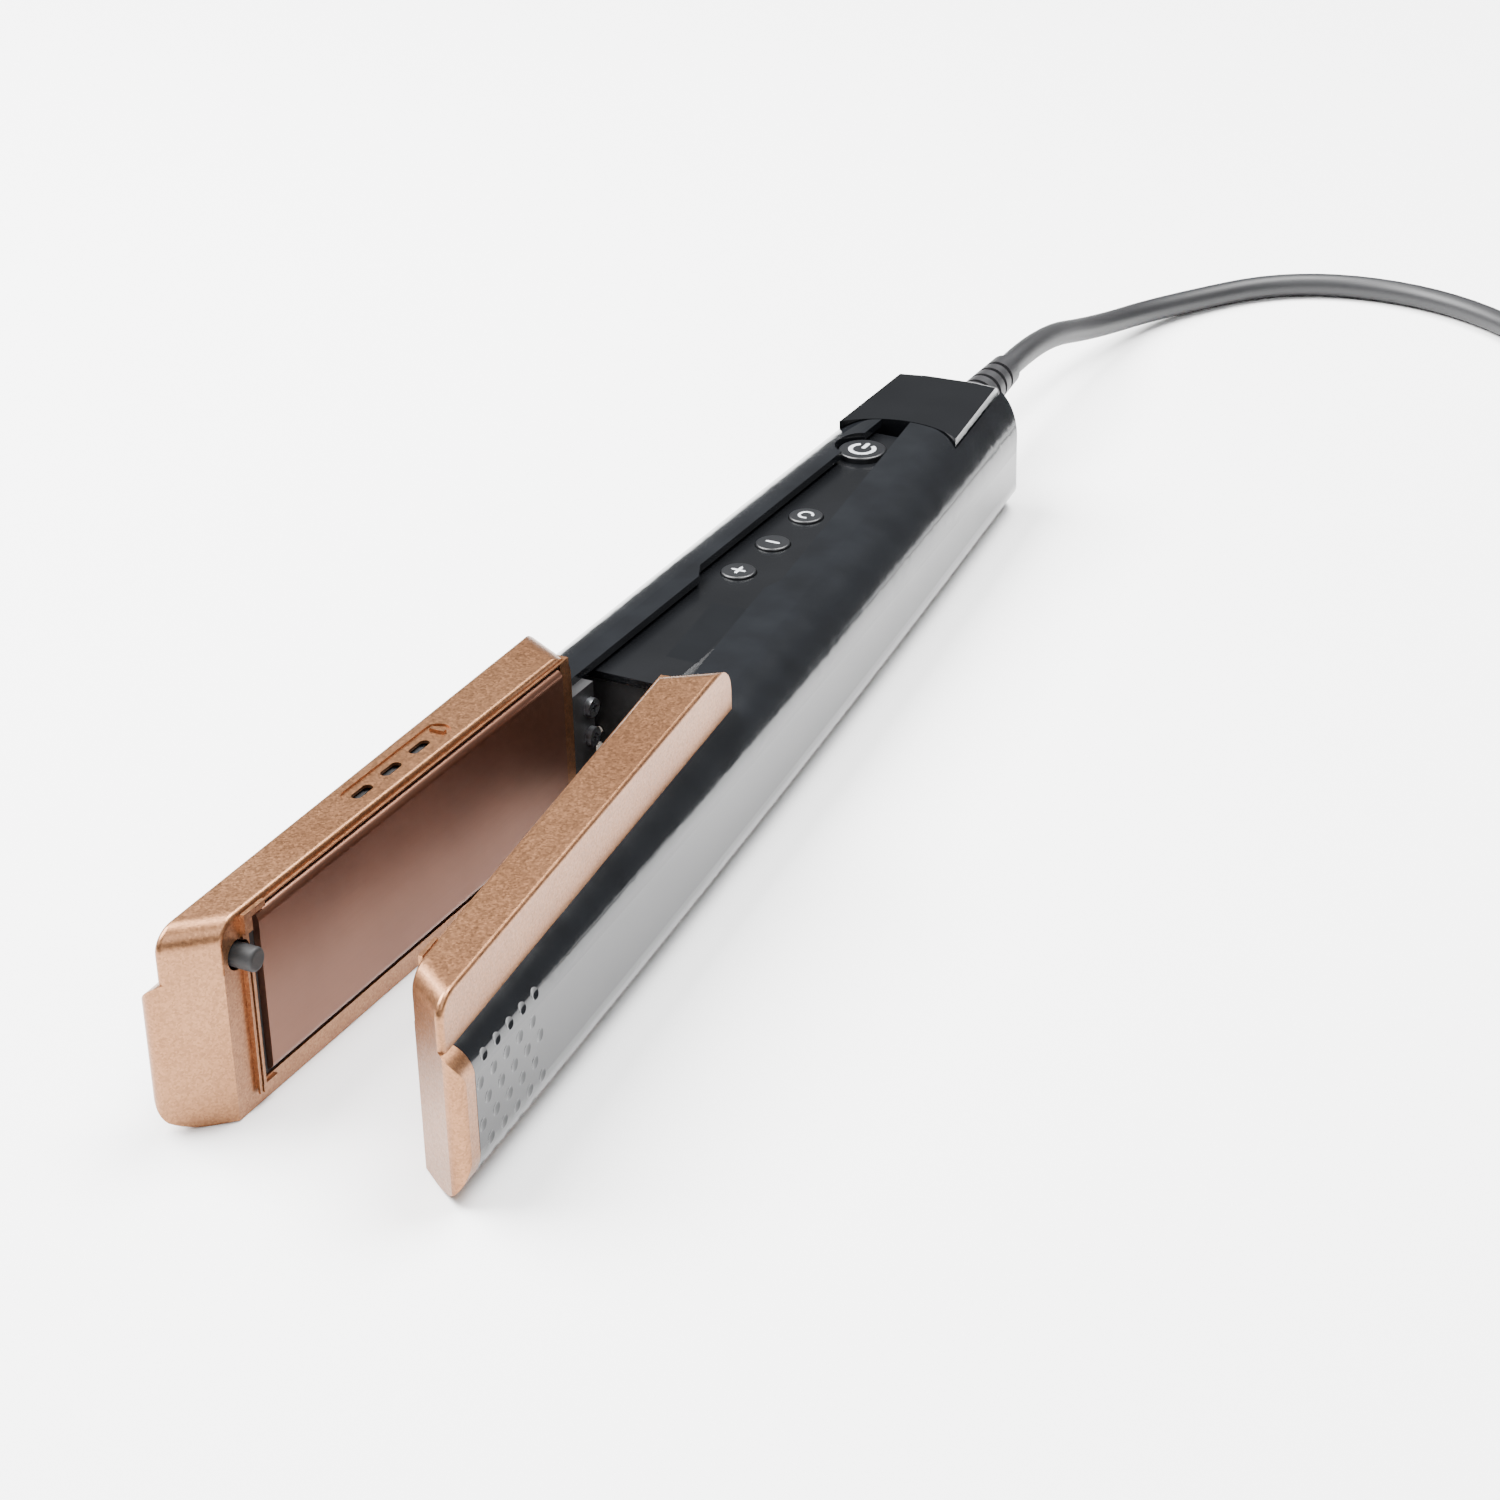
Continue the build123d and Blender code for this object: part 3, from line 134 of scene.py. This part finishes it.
def rose_gold_paint():
    """Metallic lacquer on moulded plastic, sprayed: fine aluminium flake under a thin clear coat."""
    colours = bpy.context.scene.iron_colours
    material, tree, shader, coords = start_material(
        "rose_gold_paint", Metallic=0.92, **{"Coat Weight": 0.1, "Coat Roughness": 0.2}
    )
    flake = add_node(tree, "ShaderNodeTexVoronoi", {"Vector": (coords, "Object"), "Scale": per_metre(0.38)})
    sparkle = add_node(tree, "ShaderNodeSeparateColor", {"Color": (flake, "Color")})
    cloud = cloudy(tree, coords, 24.0, 3.0)
    tone = tone_from(tree, cloud, opaque(colours.rose_deep), opaque(colours.rose_light))
    speck = range_from(tree, sparkle, 0.78, 1.16, "Red")
    flaked = {0: (tone, 2), "Scale": (speck, "Result")}
    lacquer = add_node(tree, "ShaderNodeVectorMath", flaked, operation="SCALE")
    rough = range_from(tree, sparkle, 0.30, 0.44, "Green")
    grain = relief_from(tree, sparkle, 0.10, 0.03, "Blue")
    finish_shader(tree, shader, (lacquer, "Vector"), rough, grain)
    return material


def gloss_black_abs():
    """ABS moulded in a polished tool: deep black gloss with the faintest flow waves and scuffs."""
    colours = bpy.context.scene.iron_colours
    material, tree, shader, coords = start_material(
        "gloss_black_abs", IOR=1.43, **{"Coat Weight": 0.15, "Coat Roughness": 0.06}
    )
    scuff = cloudy(tree, coords, 9.0, 6.0)
    rough = range_from(tree, scuff, 0.10, 0.24)
    tone = tone_from(tree, scuff, linear("#0A0B0D"), opaque(colours.shell))
    flow = relief_from(tree, cloudy(tree, coords, 14.0), 0.05, 0.1)
    finish_shader(tree, shader, (tone, 2), rough, flow)
    return material


def plate_coating():
    """Coating baked on a ground aluminium plate: satin bronze, with faint grinding lines along it."""
    colours = bpy.context.scene.iron_colours
    material, tree, shader, coords = start_material("plate_coating", Metallic=0.85)
    stretch = add_node(
        tree, "ShaderNodeMapping", {"Vector": (coords, "Object"), "Scale": (1.0, 0.03, 1.0)}
    )
    lines = add_node(
        tree,
        "ShaderNodeTexNoise",
        {"Vector": (stretch, "Vector"), "Scale": per_metre(0.5), "Detail": 4.0},
    )
    tone = tone_from(tree, cloudy(tree, coords, 40.0), linear("#5C3E31"), opaque(colours.plate))
    rough = range_from(tree, lines, 0.24, 0.40)
    ground = relief_from(tree, lines, 0.06, 0.02)
    finish_shader(tree, shader, (tone, 2), rough, ground)
    return material


def grained_finish(name, hex_colour, low_rough, high_rough, grain_mm, strength):
    """A moulding or fabric in one colour with a fine even grain, grain_mm apart, and slow changes of tone."""
    material, tree, shader, coords = start_material(name)
    grain = cloudy(tree, coords, grain_mm, 3.0)
    cloud = cloudy(tree, coords, 18.0, 4.0)
    lighter = tuple(min(1.0, channel * 1.5) for channel in linear(hex_colour)[:3])
    tone = tone_from(tree, cloud, linear(hex_colour), opaque(lighter))
    rough = range_from(tree, cloud, low_rough, high_rough)
    finish_shader(tree, shader, (tone, 2), rough, relief_from(tree, grain, strength, 0.05))
    return material


def drawn_metal(name, hex_colour, low_rough, high_rough):
    """Stamped or turned metal, plated: bright with short tool marks and duller patches."""
    material, tree, shader, coords = start_material(name, Metallic=1.0)
    marks = cloudy(tree, coords, 1.2, 5.0)
    darker = tuple(channel * 0.8 for channel in linear(hex_colour)[:3])
    tone = tone_from(tree, marks, opaque(darker), linear(hex_colour))
    finish_shader(tree, shader, (tone, 2), range_from(tree, marks, low_rough, high_rough))
    return material


def alumina():
    """Sintered alumina strip: off-white and chalky, with faint speckle."""
    material, tree, shader, coords = start_material("alumina")
    speckle = cloudy(tree, coords, 0.8, 4.0)
    tone = tone_from(tree, speckle, linear("#CFC8BB"), linear("#EDE9E1"))
    finish_shader(tree, shader, (tone, 2), range_from(tree, speckle, 0.7, 0.9))
    return material


def solder_mask():
    """Glass-epoxy board under green solder mask: semi-gloss, the weave just showing."""
    material, tree, shader, coords = start_material("solder_mask", IOR=1.5)
    greens = {"Color1": linear("#1B4630"), "Color2": linear("#205238")}
    weave = add_node(
        tree, "ShaderNodeTexChecker", {"Vector": (coords, "Object"), "Scale": per_metre(0.9), **greens}
    )
    rough = range_from(tree, cloudy(tree, coords, 6.0, 3.0), 0.28, 0.42)
    finish_shader(tree, shader, (weave, "Color"), rough)
    return material


def smoked_acrylic():
    """Display window, back-painted acrylic: polished, near-black, with a faint smear of handling."""
    material, tree, shader, coords = start_material("smoked_acrylic", IOR=1.49, **{"Coat Weight": 0.5})
    smear = cloudy(tree, coords, 12.0, 5.0)
    tone = tone_from(tree, smear, linear("#050608"), linear("#0E1013"))
    finish_shader(tree, shader, (tone, 2), range_from(tree, smear, 0.05, 0.16))
    return material


def printed_mark():
    """Pad-printed silver ink: thin, satin, slightly broken over the grain below."""
    material, tree, shader, coords = start_material("printed_mark", Metallic=0.5)
    break_up = cloudy(tree, coords, 0.7, 3.0)
    tone = tone_from(tree, break_up, linear("#B9BDC2"), linear("#E4E7EA"))
    finish_shader(tree, shader, (tone, 2), range_from(tree, break_up, 0.3, 0.45))
    return material


def studio_paper():
    """Matt white sweep: seamless paper, its tooth too fine to see, so only a soft cloud in its tone."""
    material, tree, shader, coords = start_material("studio_floor")
    cloud = cloudy(tree, coords, 300.0)
    tone = tone_from(tree, cloud, linear("#F6F6F6"), linear("#FCFCFC"))
    finish_shader(tree, shader, (tone, 2), range_from(tree, cloud, 0.75, 0.85))
    return material


# ---------------------------------------------------------------- surfaces


def paint(names, material):
    """Gives CAD nodes a material in place of their plain one."""
    for name in names:
        mesh = NODES[name].data
        mesh.materials.clear()
        mesh.materials.append(material)


def both(stem):
    """The left and right node of a piece."""
    return [f"{stem}_{side}" for side in SIDES]


def grid_piece(name, points, body, material, close_around=False, caps=False):
    """A mesh from a grid of points (rows, columns, 3); its columns can wrap round and its ends be closed."""
    rows, columns = points.shape[:2]
    index = np.arange(rows * columns).reshape(rows, columns)
    here = index[:-1] if close_around else index[:-1, :-1]
    right = np.roll(index, -1, axis=1)[:-1] if close_around else index[:-1, 1:]
    up = index[1:] if close_around else index[1:, :-1]
    up_right = np.roll(index, -1, axis=1)[1:] if close_around else index[1:, 1:]
    quads = np.stack([here, right, up_right, up], axis=-1).reshape(-1, 4)
    faces = quads.tolist()
    if caps:
        faces.append(index[0][::-1].tolist())
        faces.append(index[-1].tolist())
    mesh = bpy.data.meshes.new(name)
    mesh.from_pydata(points.reshape(-1, 3).tolist(), [], faces)
    mesh.update()
    mesh.materials.append(material)
    piece = bpy.data.objects.new(name, mesh)
    bpy.context.scene.collection.objects.link(piece)
    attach(piece, body)
    return piece


def ring_profile(radius, half_width, height, samples=6):
    """Cross-section of a printed line: height * sqrt(1 - 0.92 t squared) at a share t from -1 to 1 across."""
    across = np.linspace(-1.0, 1.0, samples)
    rise = height * np.sqrt(1.0 - 0.92 * across**2)
    return radius + half_width * across, rise


def mark_arc(name, centre, radius, half_width, span, height, body, material):
    """A printed arc: the low arch of ring_profile with a flat foot, carried round centre."""
    angles = np.linspace(*span, 40)
    reach, rise = ring_profile(radius, half_width, height)
    reach = np.concatenate([reach, reach[::-1]])
    rise = np.concatenate([rise, np.full_like(rise, -height)])
    points = np.stack(
        [
            centre[0] + np.outer(np.cos(angles), reach),
            centre[1] + np.outer(np.sin(angles), reach),
            centre[2] + np.outer(np.ones_like(angles), rise),
        ],
        axis=-1,
    )
    return grid_piece(name, points, body, material, close_around=True, caps=True)


def mark_bar(name, centre, length, half_width, turn, height, body, material):
    """A printed bar: the arch of ring_profile carried along a straight run, turned by an angle about up.

    At a share s from -1 to 1 along it, its width is scaled by sqrt(1 - s to the power 8), and by no less
    than sqrt(0.05), which leaves both ends something to close.
    """
    samples = 12
    runs = np.linspace(-0.5, 0.5, samples) * length
    across, rise = ring_profile(0.0, half_width, height)
    across = np.concatenate([across, across[::-1]])
    rise = np.concatenate([rise, np.full_like(rise, -height)])
    taper = np.sqrt(np.clip(1.0 - (np.abs(np.linspace(-1.0, 1.0, samples)) ** 8), 0.05, 1.0))
    side = np.outer(taper, across)
    ahead = np.repeat(runs[:, None], len(across), axis=1)
    points = np.stack(
        [
            centre[0] + math.cos(turn) * ahead - math.sin(turn) * side,
            centre[1] + math.sin(turn) * ahead + math.cos(turn) * side,
            centre[2] + np.outer(np.ones_like(runs), rise),
        ],
        axis=-1,
    )
    return grid_piece(name, points, body, material, close_around=True, caps=True)


def top_centre(node):
    """The middle of a node's top, in metres."""
    low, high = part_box(node)
    return (low.x + high.x) / 2, (low.y + high.y) / 2, high.z


# The marks on the keys, in metres; an arc is from its first angle to its second
KEY_MARK_LENGTH = 0.0034
KEY_MARK_HALF = 0.00035
MODE_RADIUS = 0.0015
MODE_MARK_HALF = 0.0003
MODE_ARC = (0.0, math.radians(300))
POWER_RADIUS = 0.0027
POWER_MARK_HALF = 0.0005
POWER_ARC = (math.radians(125), math.radians(415))
POWER_STROKE_LENGTH = 0.0032
POWER_STROKE_SHIFT = 0.0018
UPPER_STROKE = 1.3      # height of the plus sign's second stroke, in heights of its first


# ---------------------------------------------------------------- settings


class IronColours(bpy.types.PropertyGroup):
    """Colours that a user would change."""

    rose_light: bpy.props.FloatVectorProperty(
        name="Rose gold, light",
        description="Lighter tone of the lacquer",
        subtype="COLOR",
        default=linear("#9A7050")[:3],
    )
    rose_deep: bpy.props.FloatVectorProperty(
        name="Rose gold, deep",
        description="Deeper tone of the lacquer",
        subtype="COLOR",
        default=linear("#82593D")[:3],
    )
    shell: bpy.props.FloatVectorProperty(
        name="Shell",
        description="Black of the outer shells",
        subtype="COLOR",
        default=linear("#15171A")[:3],
    )
    plate: bpy.props.FloatVectorProperty(
        name="Plate",
        description="Coating of the heating plates",
        subtype="COLOR",
        default=linear("#7E5846")[:3],
    )


class IronSizes(bpy.types.PropertyGroup):
    """Sizes that a user would change."""

    cord_length: bpy.props.FloatProperty(
        name="Cord length",
        description="Declared length of the lead, which its route has to have",
        default=2.2,
        unit="LENGTH",
    )
    cord_diameter: bpy.props.FloatProperty(
        name="Cord diameter", description="Outside diameter of the mains lead", default=0.006, unit="LENGTH"
    )
    lens: bpy.props.FloatProperty(
        name="Lens", description="Focal length on a 36 mm sensor, in millimetres", default=84.0
    )
    floor_side: bpy.props.FloatProperty(
        name="Floor side", description="Side of the studio floor", default=8.0, unit="LENGTH"
    )
    mark_height: bpy.props.FloatProperty(
        name="Mark height", description="Thickness of the printed marks", default=0.00006, unit="LENGTH"
    )


# ---------------------------------------------------------------- cord

# The lead, its coil's middle, mean radius and winding, and the height at which it leaves, in metres
CORD_RADIUS = 0.003
COIL_X = 0.163
COIL_Y = 0.130
COIL_MEAN = 0.036
COIL_BESIDE = 3
COIL_LAYERS = 4
CORD_EXIT_Z = 0.018


def tail_point(distance):
    """A point on the tail's line, which is turned by TAIL_TURN from +Y, at a distance behind the hinge."""
    return (-distance * math.sin(TAIL_TURN), distance * math.cos(TAIL_TURN), CORD_EXIT_Z)


# The lead's route from the strain relief to the coil, and from the coil to the plug, in metres
RELIEF_END = tail_point(0.0853)
CORD_POINTS = [
    RELIEF_END,
    tail_point(0.1093),
    (-0.0072, 0.143, 0.008),
    (-0.002, 0.176, 0.003),
    (0.024, 0.212, 0.003),
    (0.070, 0.214, 0.003),
    (0.114, 0.181, 0.003),
]
TAIL_POINTS = [
    (0.2044, 0.104, 0.0155),
    (0.197, 0.079, 0.0075),
    (0.197, 0.060, 0.0075),
]


def coil_points(per_turn=16):
    """Turns wound clockwise from the far side, each layer a diameter above the last.

    A layer takes COIL_BESIDE - 1 turns, in which the radius shrinks by a diameter a turn, or grows in every
    second layer; between two layers the height climbs by a diameter over a twelfth of a turn.
    """
    diameter = 2 * CORD_RADIUS
    laid = COIL_BESIDE - 1
    climb = 1 / 12
    total = COIL_LAYERS * laid + (COIL_LAYERS - 1) * climb
    turn = np.arange(1, int(total * per_turn) + 1) / per_turn
    layer = np.minimum(np.floor(turn / (laid + climb)), COIL_LAYERS - 1)
    within = turn - layer * (laid + climb)
    wound = np.clip(within, 0.0, laid)
    inward = COIL_MEAN + diameter * laid / 2 - diameter * wound
    outward = COIL_MEAN - diameter * laid / 2 + diameter * wound
    radius = np.where(layer % 2 == 0, inward, outward)
    height = CORD_RADIUS + diameter * (layer + np.clip((within - laid) / climb, 0.0, 1.0))
    angle = math.pi / 2 - 2 * math.pi * turn
    return np.stack([COIL_X + radius * np.cos(angle), COIL_Y + radius * np.sin(angle), height], axis=-1)


def coil_strap(material):
    """A hook-and-loop strap round the coil's bundle, open where the coil lies on the floor.

    Its line is a superellipse of power 5 about the bundle, which stops short of the floor on both sides;
    its cross-section is a flat band whose edges thin out.
    """
    half_width = 0.005
    thick = 0.0011
    below_level = 0.62
    bundle = CORD_RADIUS * COIL_BESIDE
    tall = CORD_RADIUS * COIL_LAYERS
    lean = np.linspace(-below_level, math.pi + below_level, 61)
    cosine, sine = np.cos(lean), np.sin(lean)
    stretch = (np.abs(cosine) ** 5 + np.abs(sine) ** 5) ** (-1 / 5)
    profile = np.linspace(0.0, 2 * math.pi, 16, endpoint=False)
    along = half_width * np.sign(np.cos(profile)) * np.abs(np.cos(profile)) ** 0.4
    proud = 0.5 * thick * (1.0 + np.sign(np.sin(profile)) * np.abs(np.sin(profile)) ** 0.5)
    across = (bundle + proud[None, :]) * (cosine * stretch)[:, None]
    height = tall + (tall + proud[None, :]) * (sine * stretch)[:, None]
    points = np.stack(
        [
            COIL_X - COIL_MEAN - across,
            COIL_Y + np.broadcast_to(along, across.shape),
            height,
        ],
        axis=-1,
    )
    strap = grid_piece("coil_strap", points, "left_arm", material, close_around=True, caps=True)
    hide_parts("cord_tie")
    return strap


def cord_curve(name, points, radius, material):
    """One NURBS spline of order 3 through its end points, with a round bevel."""
    curve = bpy.data.curves.new(name, "CURVE")
    curve.dimensions = "3D"
    curve.bevel_depth = radius
    curve.bevel_resolution = 6
    curve.use_fill_caps = True
    spline = curve.splines.new("NURBS")
    spline.points.add(len(points) - 1)
    for point, place in zip(spline.points, points):
        point.co = (*place, 1.0)
    spline.order_u = 3
    spline.use_endpoint_u = True
    spline.resolution_u = 8
    curve.materials.append(material)
    piece = bpy.data.objects.new(name, curve)
    bpy.context.scene.collection.objects.link(piece)
    return piece


# ---------------------------------------------------------------- operators

CAMERA_PLACE = (0.32629, -0.64878, 0.34908)
CAMERA_RIGHT = (0.8802, 0.4740, -0.0226)
CAMERA_FORWARD = (-0.4262, 0.7686, -0.4771)
FLOOR_DROP = 0.0002     # the floor lies this far below the iron
WORLD_STRENGTH = 0.2


class FLATIRON_OT_camera(bpy.types.Operator):
    """Camera beyond the tips, to their right and above, looking along the arms"""

    bl_idname = "flatiron.camera"
    bl_label = "Camera"

    def execute(self, context):
        sizes = context.scene.iron_sizes
        right = Vector(CAMERA_RIGHT).normalized()
        forward = Vector(CAMERA_FORWARD).normalized()
        up = right.cross(forward)
        data = bpy.data.cameras.new("studio_camera")
        data.sensor_width = 36.0
        data.lens = sizes.lens
        data.clip_start = 0.01
        camera = bpy.data.objects.new("studio_camera", data)
        turn = Matrix((right, up, -forward)).transposed().to_4x4()
        camera.matrix_world = Matrix.Translation(CAMERA_PLACE) @ turn
        context.scene.collection.objects.link(camera)
        context.scene.camera = camera
        return {"FINISHED"}


class FLATIRON_OT_cord(bpy.types.Operator):
    """Mains lead from the strain relief to its coil and its plug"""

    bl_idname = "flatiron.cord"
    bl_label = "Cord"

    def execute(self, context):
        sizes = context.scene.iron_sizes
        pvc = grained_finish("pvc_jacket", "#141416", 0.42, 0.56, 0.5, 0.12)
        points = CORD_POINTS + coil_points().tolist() + TAIL_POINTS
        cord = cord_curve("mains_lead", points, sizes.cord_diameter / 2, pvc)
        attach(cord, "left_arm")
        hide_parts("cord", "cord_coil", "cord_end")
        coil_strap(grained_finish("hook_strap", "#1A1B1E", 0.75, 0.9, 0.6, 0.5))
        paint(["plug_body", "strain_relief", "cord_swivel"], pvc)
        paint(["plug_blades"], drawn_metal("plated_brass", "#C4A764", 0.18, 0.34))
        return {"FINISHED"}


class FLATIRON_OT_stage(bpy.types.Operator):
    """White floor, soft light from all round and three softboxes"""

    bl_idname = "flatiron.stage"
    bl_label = "Studio"

    def execute(self, context):
        sizes = context.scene.iron_sizes
        half = sizes.floor_side / 2
        rows = 9
        u, v = np.meshgrid(np.linspace(-half, half, rows), np.linspace(-half, half, rows))
        points = np.stack([u, v, np.full_like(u, -FLOOR_DROP)], axis=-1)
        mesh = bpy.data.meshes.new("studio_floor")
        index = np.arange(rows * rows).reshape(rows, rows)
        quads = np.stack([index[:-1, :-1], index[:-1, 1:], index[1:, 1:], index[1:, :-1]], axis=-1)
        mesh.from_pydata(points.reshape(-1, 3).tolist(), [], quads.reshape(-1, 4).tolist())
        mesh.materials.append(studio_paper())
        floor = bpy.data.objects.new("studio_floor", mesh)
        context.scene.collection.objects.link(floor)
        world = bpy.data.worlds.new("studio_world")
        context.scene.world = world
        world.use_nodes = True
        background = world.node_tree.nodes["Background"]
        background.inputs["Color"].default_value = (1.0, 1.0, 1.0, 1.0)
        background.inputs["Strength"].default_value = WORLD_STRENGTH
        self.softbox("key_softbox", (-0.75, -0.25, 1.1), (0.0, -0.10, 0.0), 1.0, 104.0)
        self.softbox("rear_softbox", (0.25, 0.55, 1.5), (0.0, -0.05, 0.0), 0.9, 84.0)
        self.softbox("front_softbox", (0.9, -0.8, 1.2), (0.0, -0.15, 0.0), 0.9, 14.0)
        return {"FINISHED"}

    def softbox(self, name, place, aim, side, power):
        """A square area light of a side in metres, turned to aim, with its power in watts."""
        data = bpy.data.lights.new(name, "AREA")
        data.shape = "SQUARE"
        data.size = side
        data.energy = power
        light = bpy.data.objects.new(name, data)
        light.location = place
        light.rotation_euler = (Vector(aim) - Vector(place)).to_track_quat("-Z", "Y").to_euler()
        bpy.context.scene.collection.objects.link(light)


class FLATIRON_OT_jaws(bpy.types.Operator):
    """Rose-gold housings and bezels, heating plates and what is behind them"""

    bl_idname = "flatiron.jaws"
    bl_label = "Jaws"

    def execute(self, context):
        paint(both("jaw_housing") + both("plate_bezel"), rose_gold_paint())
        paint(both("heating_plate"), plate_coating())
        silicone = grained_finish("black_silicone", "#121213", 0.55, 0.7, 0.6, 0.08)
        paint(both("plate_gasket") + both("cushions") + ["guide_pin"], silicone)
        paint(both("heater"), alumina())
        paint(both("heater_clip") + both("thermal_fuse"), drawn_metal("spring_steel", "#B9BCC0", 0.25, 0.45))
        paint(both("anchor_screws"), drawn_metal("zinc_screw", "#9FA2A6", 0.22, 0.4))
        paint(both("heater_leads"), grained_finish("glass_sleeve", "#CFCBC1", 0.8, 0.95, 0.6, 0.5))
        return {"FINISHED"}


class FLATIRON_OT_shells(bpy.types.Operator):
    """Gloss black outer shells and the finely grained tail cap"""

    bl_idname = "flatiron.shells"
    bl_label = "Shells"

    def execute(self, context):
        paint(both("outer_shell"), gloss_black_abs())
        paint(["tail_cap"], grained_finish("grained_cap", "#08090B", 0.15, 0.24, 0.35, 0.04))
        return {"FINISHED"}


class FLATIRON_OT_core(bpy.types.Operator):
    """Core frame, hinge, boards and their parts"""

    bl_idname = "flatiron.core"
    bl_label = "Core"

    def execute(self, context):
        moulding = grained_finish("core_moulding", "#0A0A0C", 0.5, 0.65, 0.5, 0.15)
        paint(["core_frame", "power_parts", "key_switches", "display_module"], moulding)
        paint(both("jaw_anchor") + both("plate_carrier"), moulding)
        hinge_steel = drawn_metal("hinge_steel", "#A3A6AA", 0.25, 0.42)
        paint(["hinge_bracket", "hinge_pin", "hinge_spring"], hinge_steel)
        paint(["main_board", "power_board"], solder_mask())
        return {"FINISHED"}


class FLATIRON_OT_controls(bpy.types.Operator):
    """Control panel, display window, keys and their printed marks"""

    bl_idname = "flatiron.controls"
    bl_label = "Controls"

    def execute(self, context):
        sizes = context.scene.iron_sizes
        paint(["control_panel"], grained_finish("panel_moulding", "#08090B", 0.2, 0.3, 0.5, 0.06))
        paint(["display_window"], smoked_acrylic())
        keys = ["button_plus", "button_minus", "button_mode", "button_power"]
        paint(keys, grained_finish("key_moulding", "#0E0F11", 0.28, 0.4, 0.5, 0.06))
        silver = printed_mark()
        height = sizes.mark_height
        plus = top_centre("button_plus")
        minus = top_centre("button_minus")
        mode = top_centre("button_mode")
        power = top_centre("button_power")
        stroke_foot = (power[0], power[1] + POWER_STROKE_SHIFT, power[2])
        key_bar = (KEY_MARK_LENGTH, KEY_MARK_HALF)
        power_bar = (POWER_STROKE_LENGTH, POWER_MARK_HALF)
        power_ring = (POWER_RADIUS, POWER_MARK_HALF, POWER_ARC)
        upright = math.pi / 2
        plus_body, minus_body, mode_body, power_body = (f"{key}_body" for key in keys)
        marks = [
            mark_bar("mark_plus_across", plus, *key_bar, 0.0, height, plus_body, silver),
            mark_bar("mark_plus_along", plus, *key_bar, upright, height * UPPER_STROKE, plus_body, silver),
            mark_bar("mark_minus", minus, *key_bar, 0.0, height, minus_body, silver),
            mark_arc("mark_mode", mode, MODE_RADIUS, MODE_MARK_HALF, MODE_ARC, height, mode_body, silver),
            mark_arc("mark_power_arc", power, *power_ring, height, power_body, silver),
            mark_bar("mark_power_bar", stroke_foot, *power_bar, upright, height, power_body, silver),
        ]
        return {"FINISHED"}


class FLATIRON_PT_panel(bpy.types.Panel):
    """Lists the flat iron's steps and settings"""

    bl_idname = "FLATIRON_PT_panel"
    bl_label = "Flat Iron"
    bl_space_type = "VIEW_3D"
    bl_region_type = "UI"
    bl_category = "Flat Iron"

    def draw(self, context):
        layout = self.layout
        for operator in OPERATORS:
            layout.operator(operator.bl_idname)
        for settings in (context.scene.iron_sizes, context.scene.iron_colours):
            for name in settings.__annotations__:
                layout.prop(settings, name)


OPERATORS = (
    FLATIRON_OT_camera,
    FLATIRON_OT_cord,
    FLATIRON_OT_stage,
    FLATIRON_OT_jaws,
    FLATIRON_OT_shells,
    FLATIRON_OT_core,
    FLATIRON_OT_controls,
)
CLASSES = (IronColours, IronSizes, *OPERATORS, FLATIRON_PT_panel)


def register():
    """Registers the classes and hangs the settings on the scene."""
    for each in CLASSES:
        bpy.utils.register_class(each)
    bpy.types.Scene.iron_colours = bpy.props.PointerProperty(type=IronColours)
    bpy.types.Scene.iron_sizes = bpy.props.PointerProperty(type=IronSizes)


def unregister():
    """Undoes register."""
    del bpy.types.Scene.iron_sizes
    del bpy.types.Scene.iron_colours
    for each in reversed(CLASSES):
        bpy.utils.unregister_class(each)


def main():
    """Registers the add-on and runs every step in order."""
    register()
    bpy.ops.flatiron.camera()
    bpy.ops.flatiron.cord()
    bpy.ops.flatiron.stage()
    bpy.ops.flatiron.jaws()
    bpy.ops.flatiron.shells()
    bpy.ops.flatiron.core()
    bpy.ops.flatiron.controls()


if __name__ == "__main__":
    main()
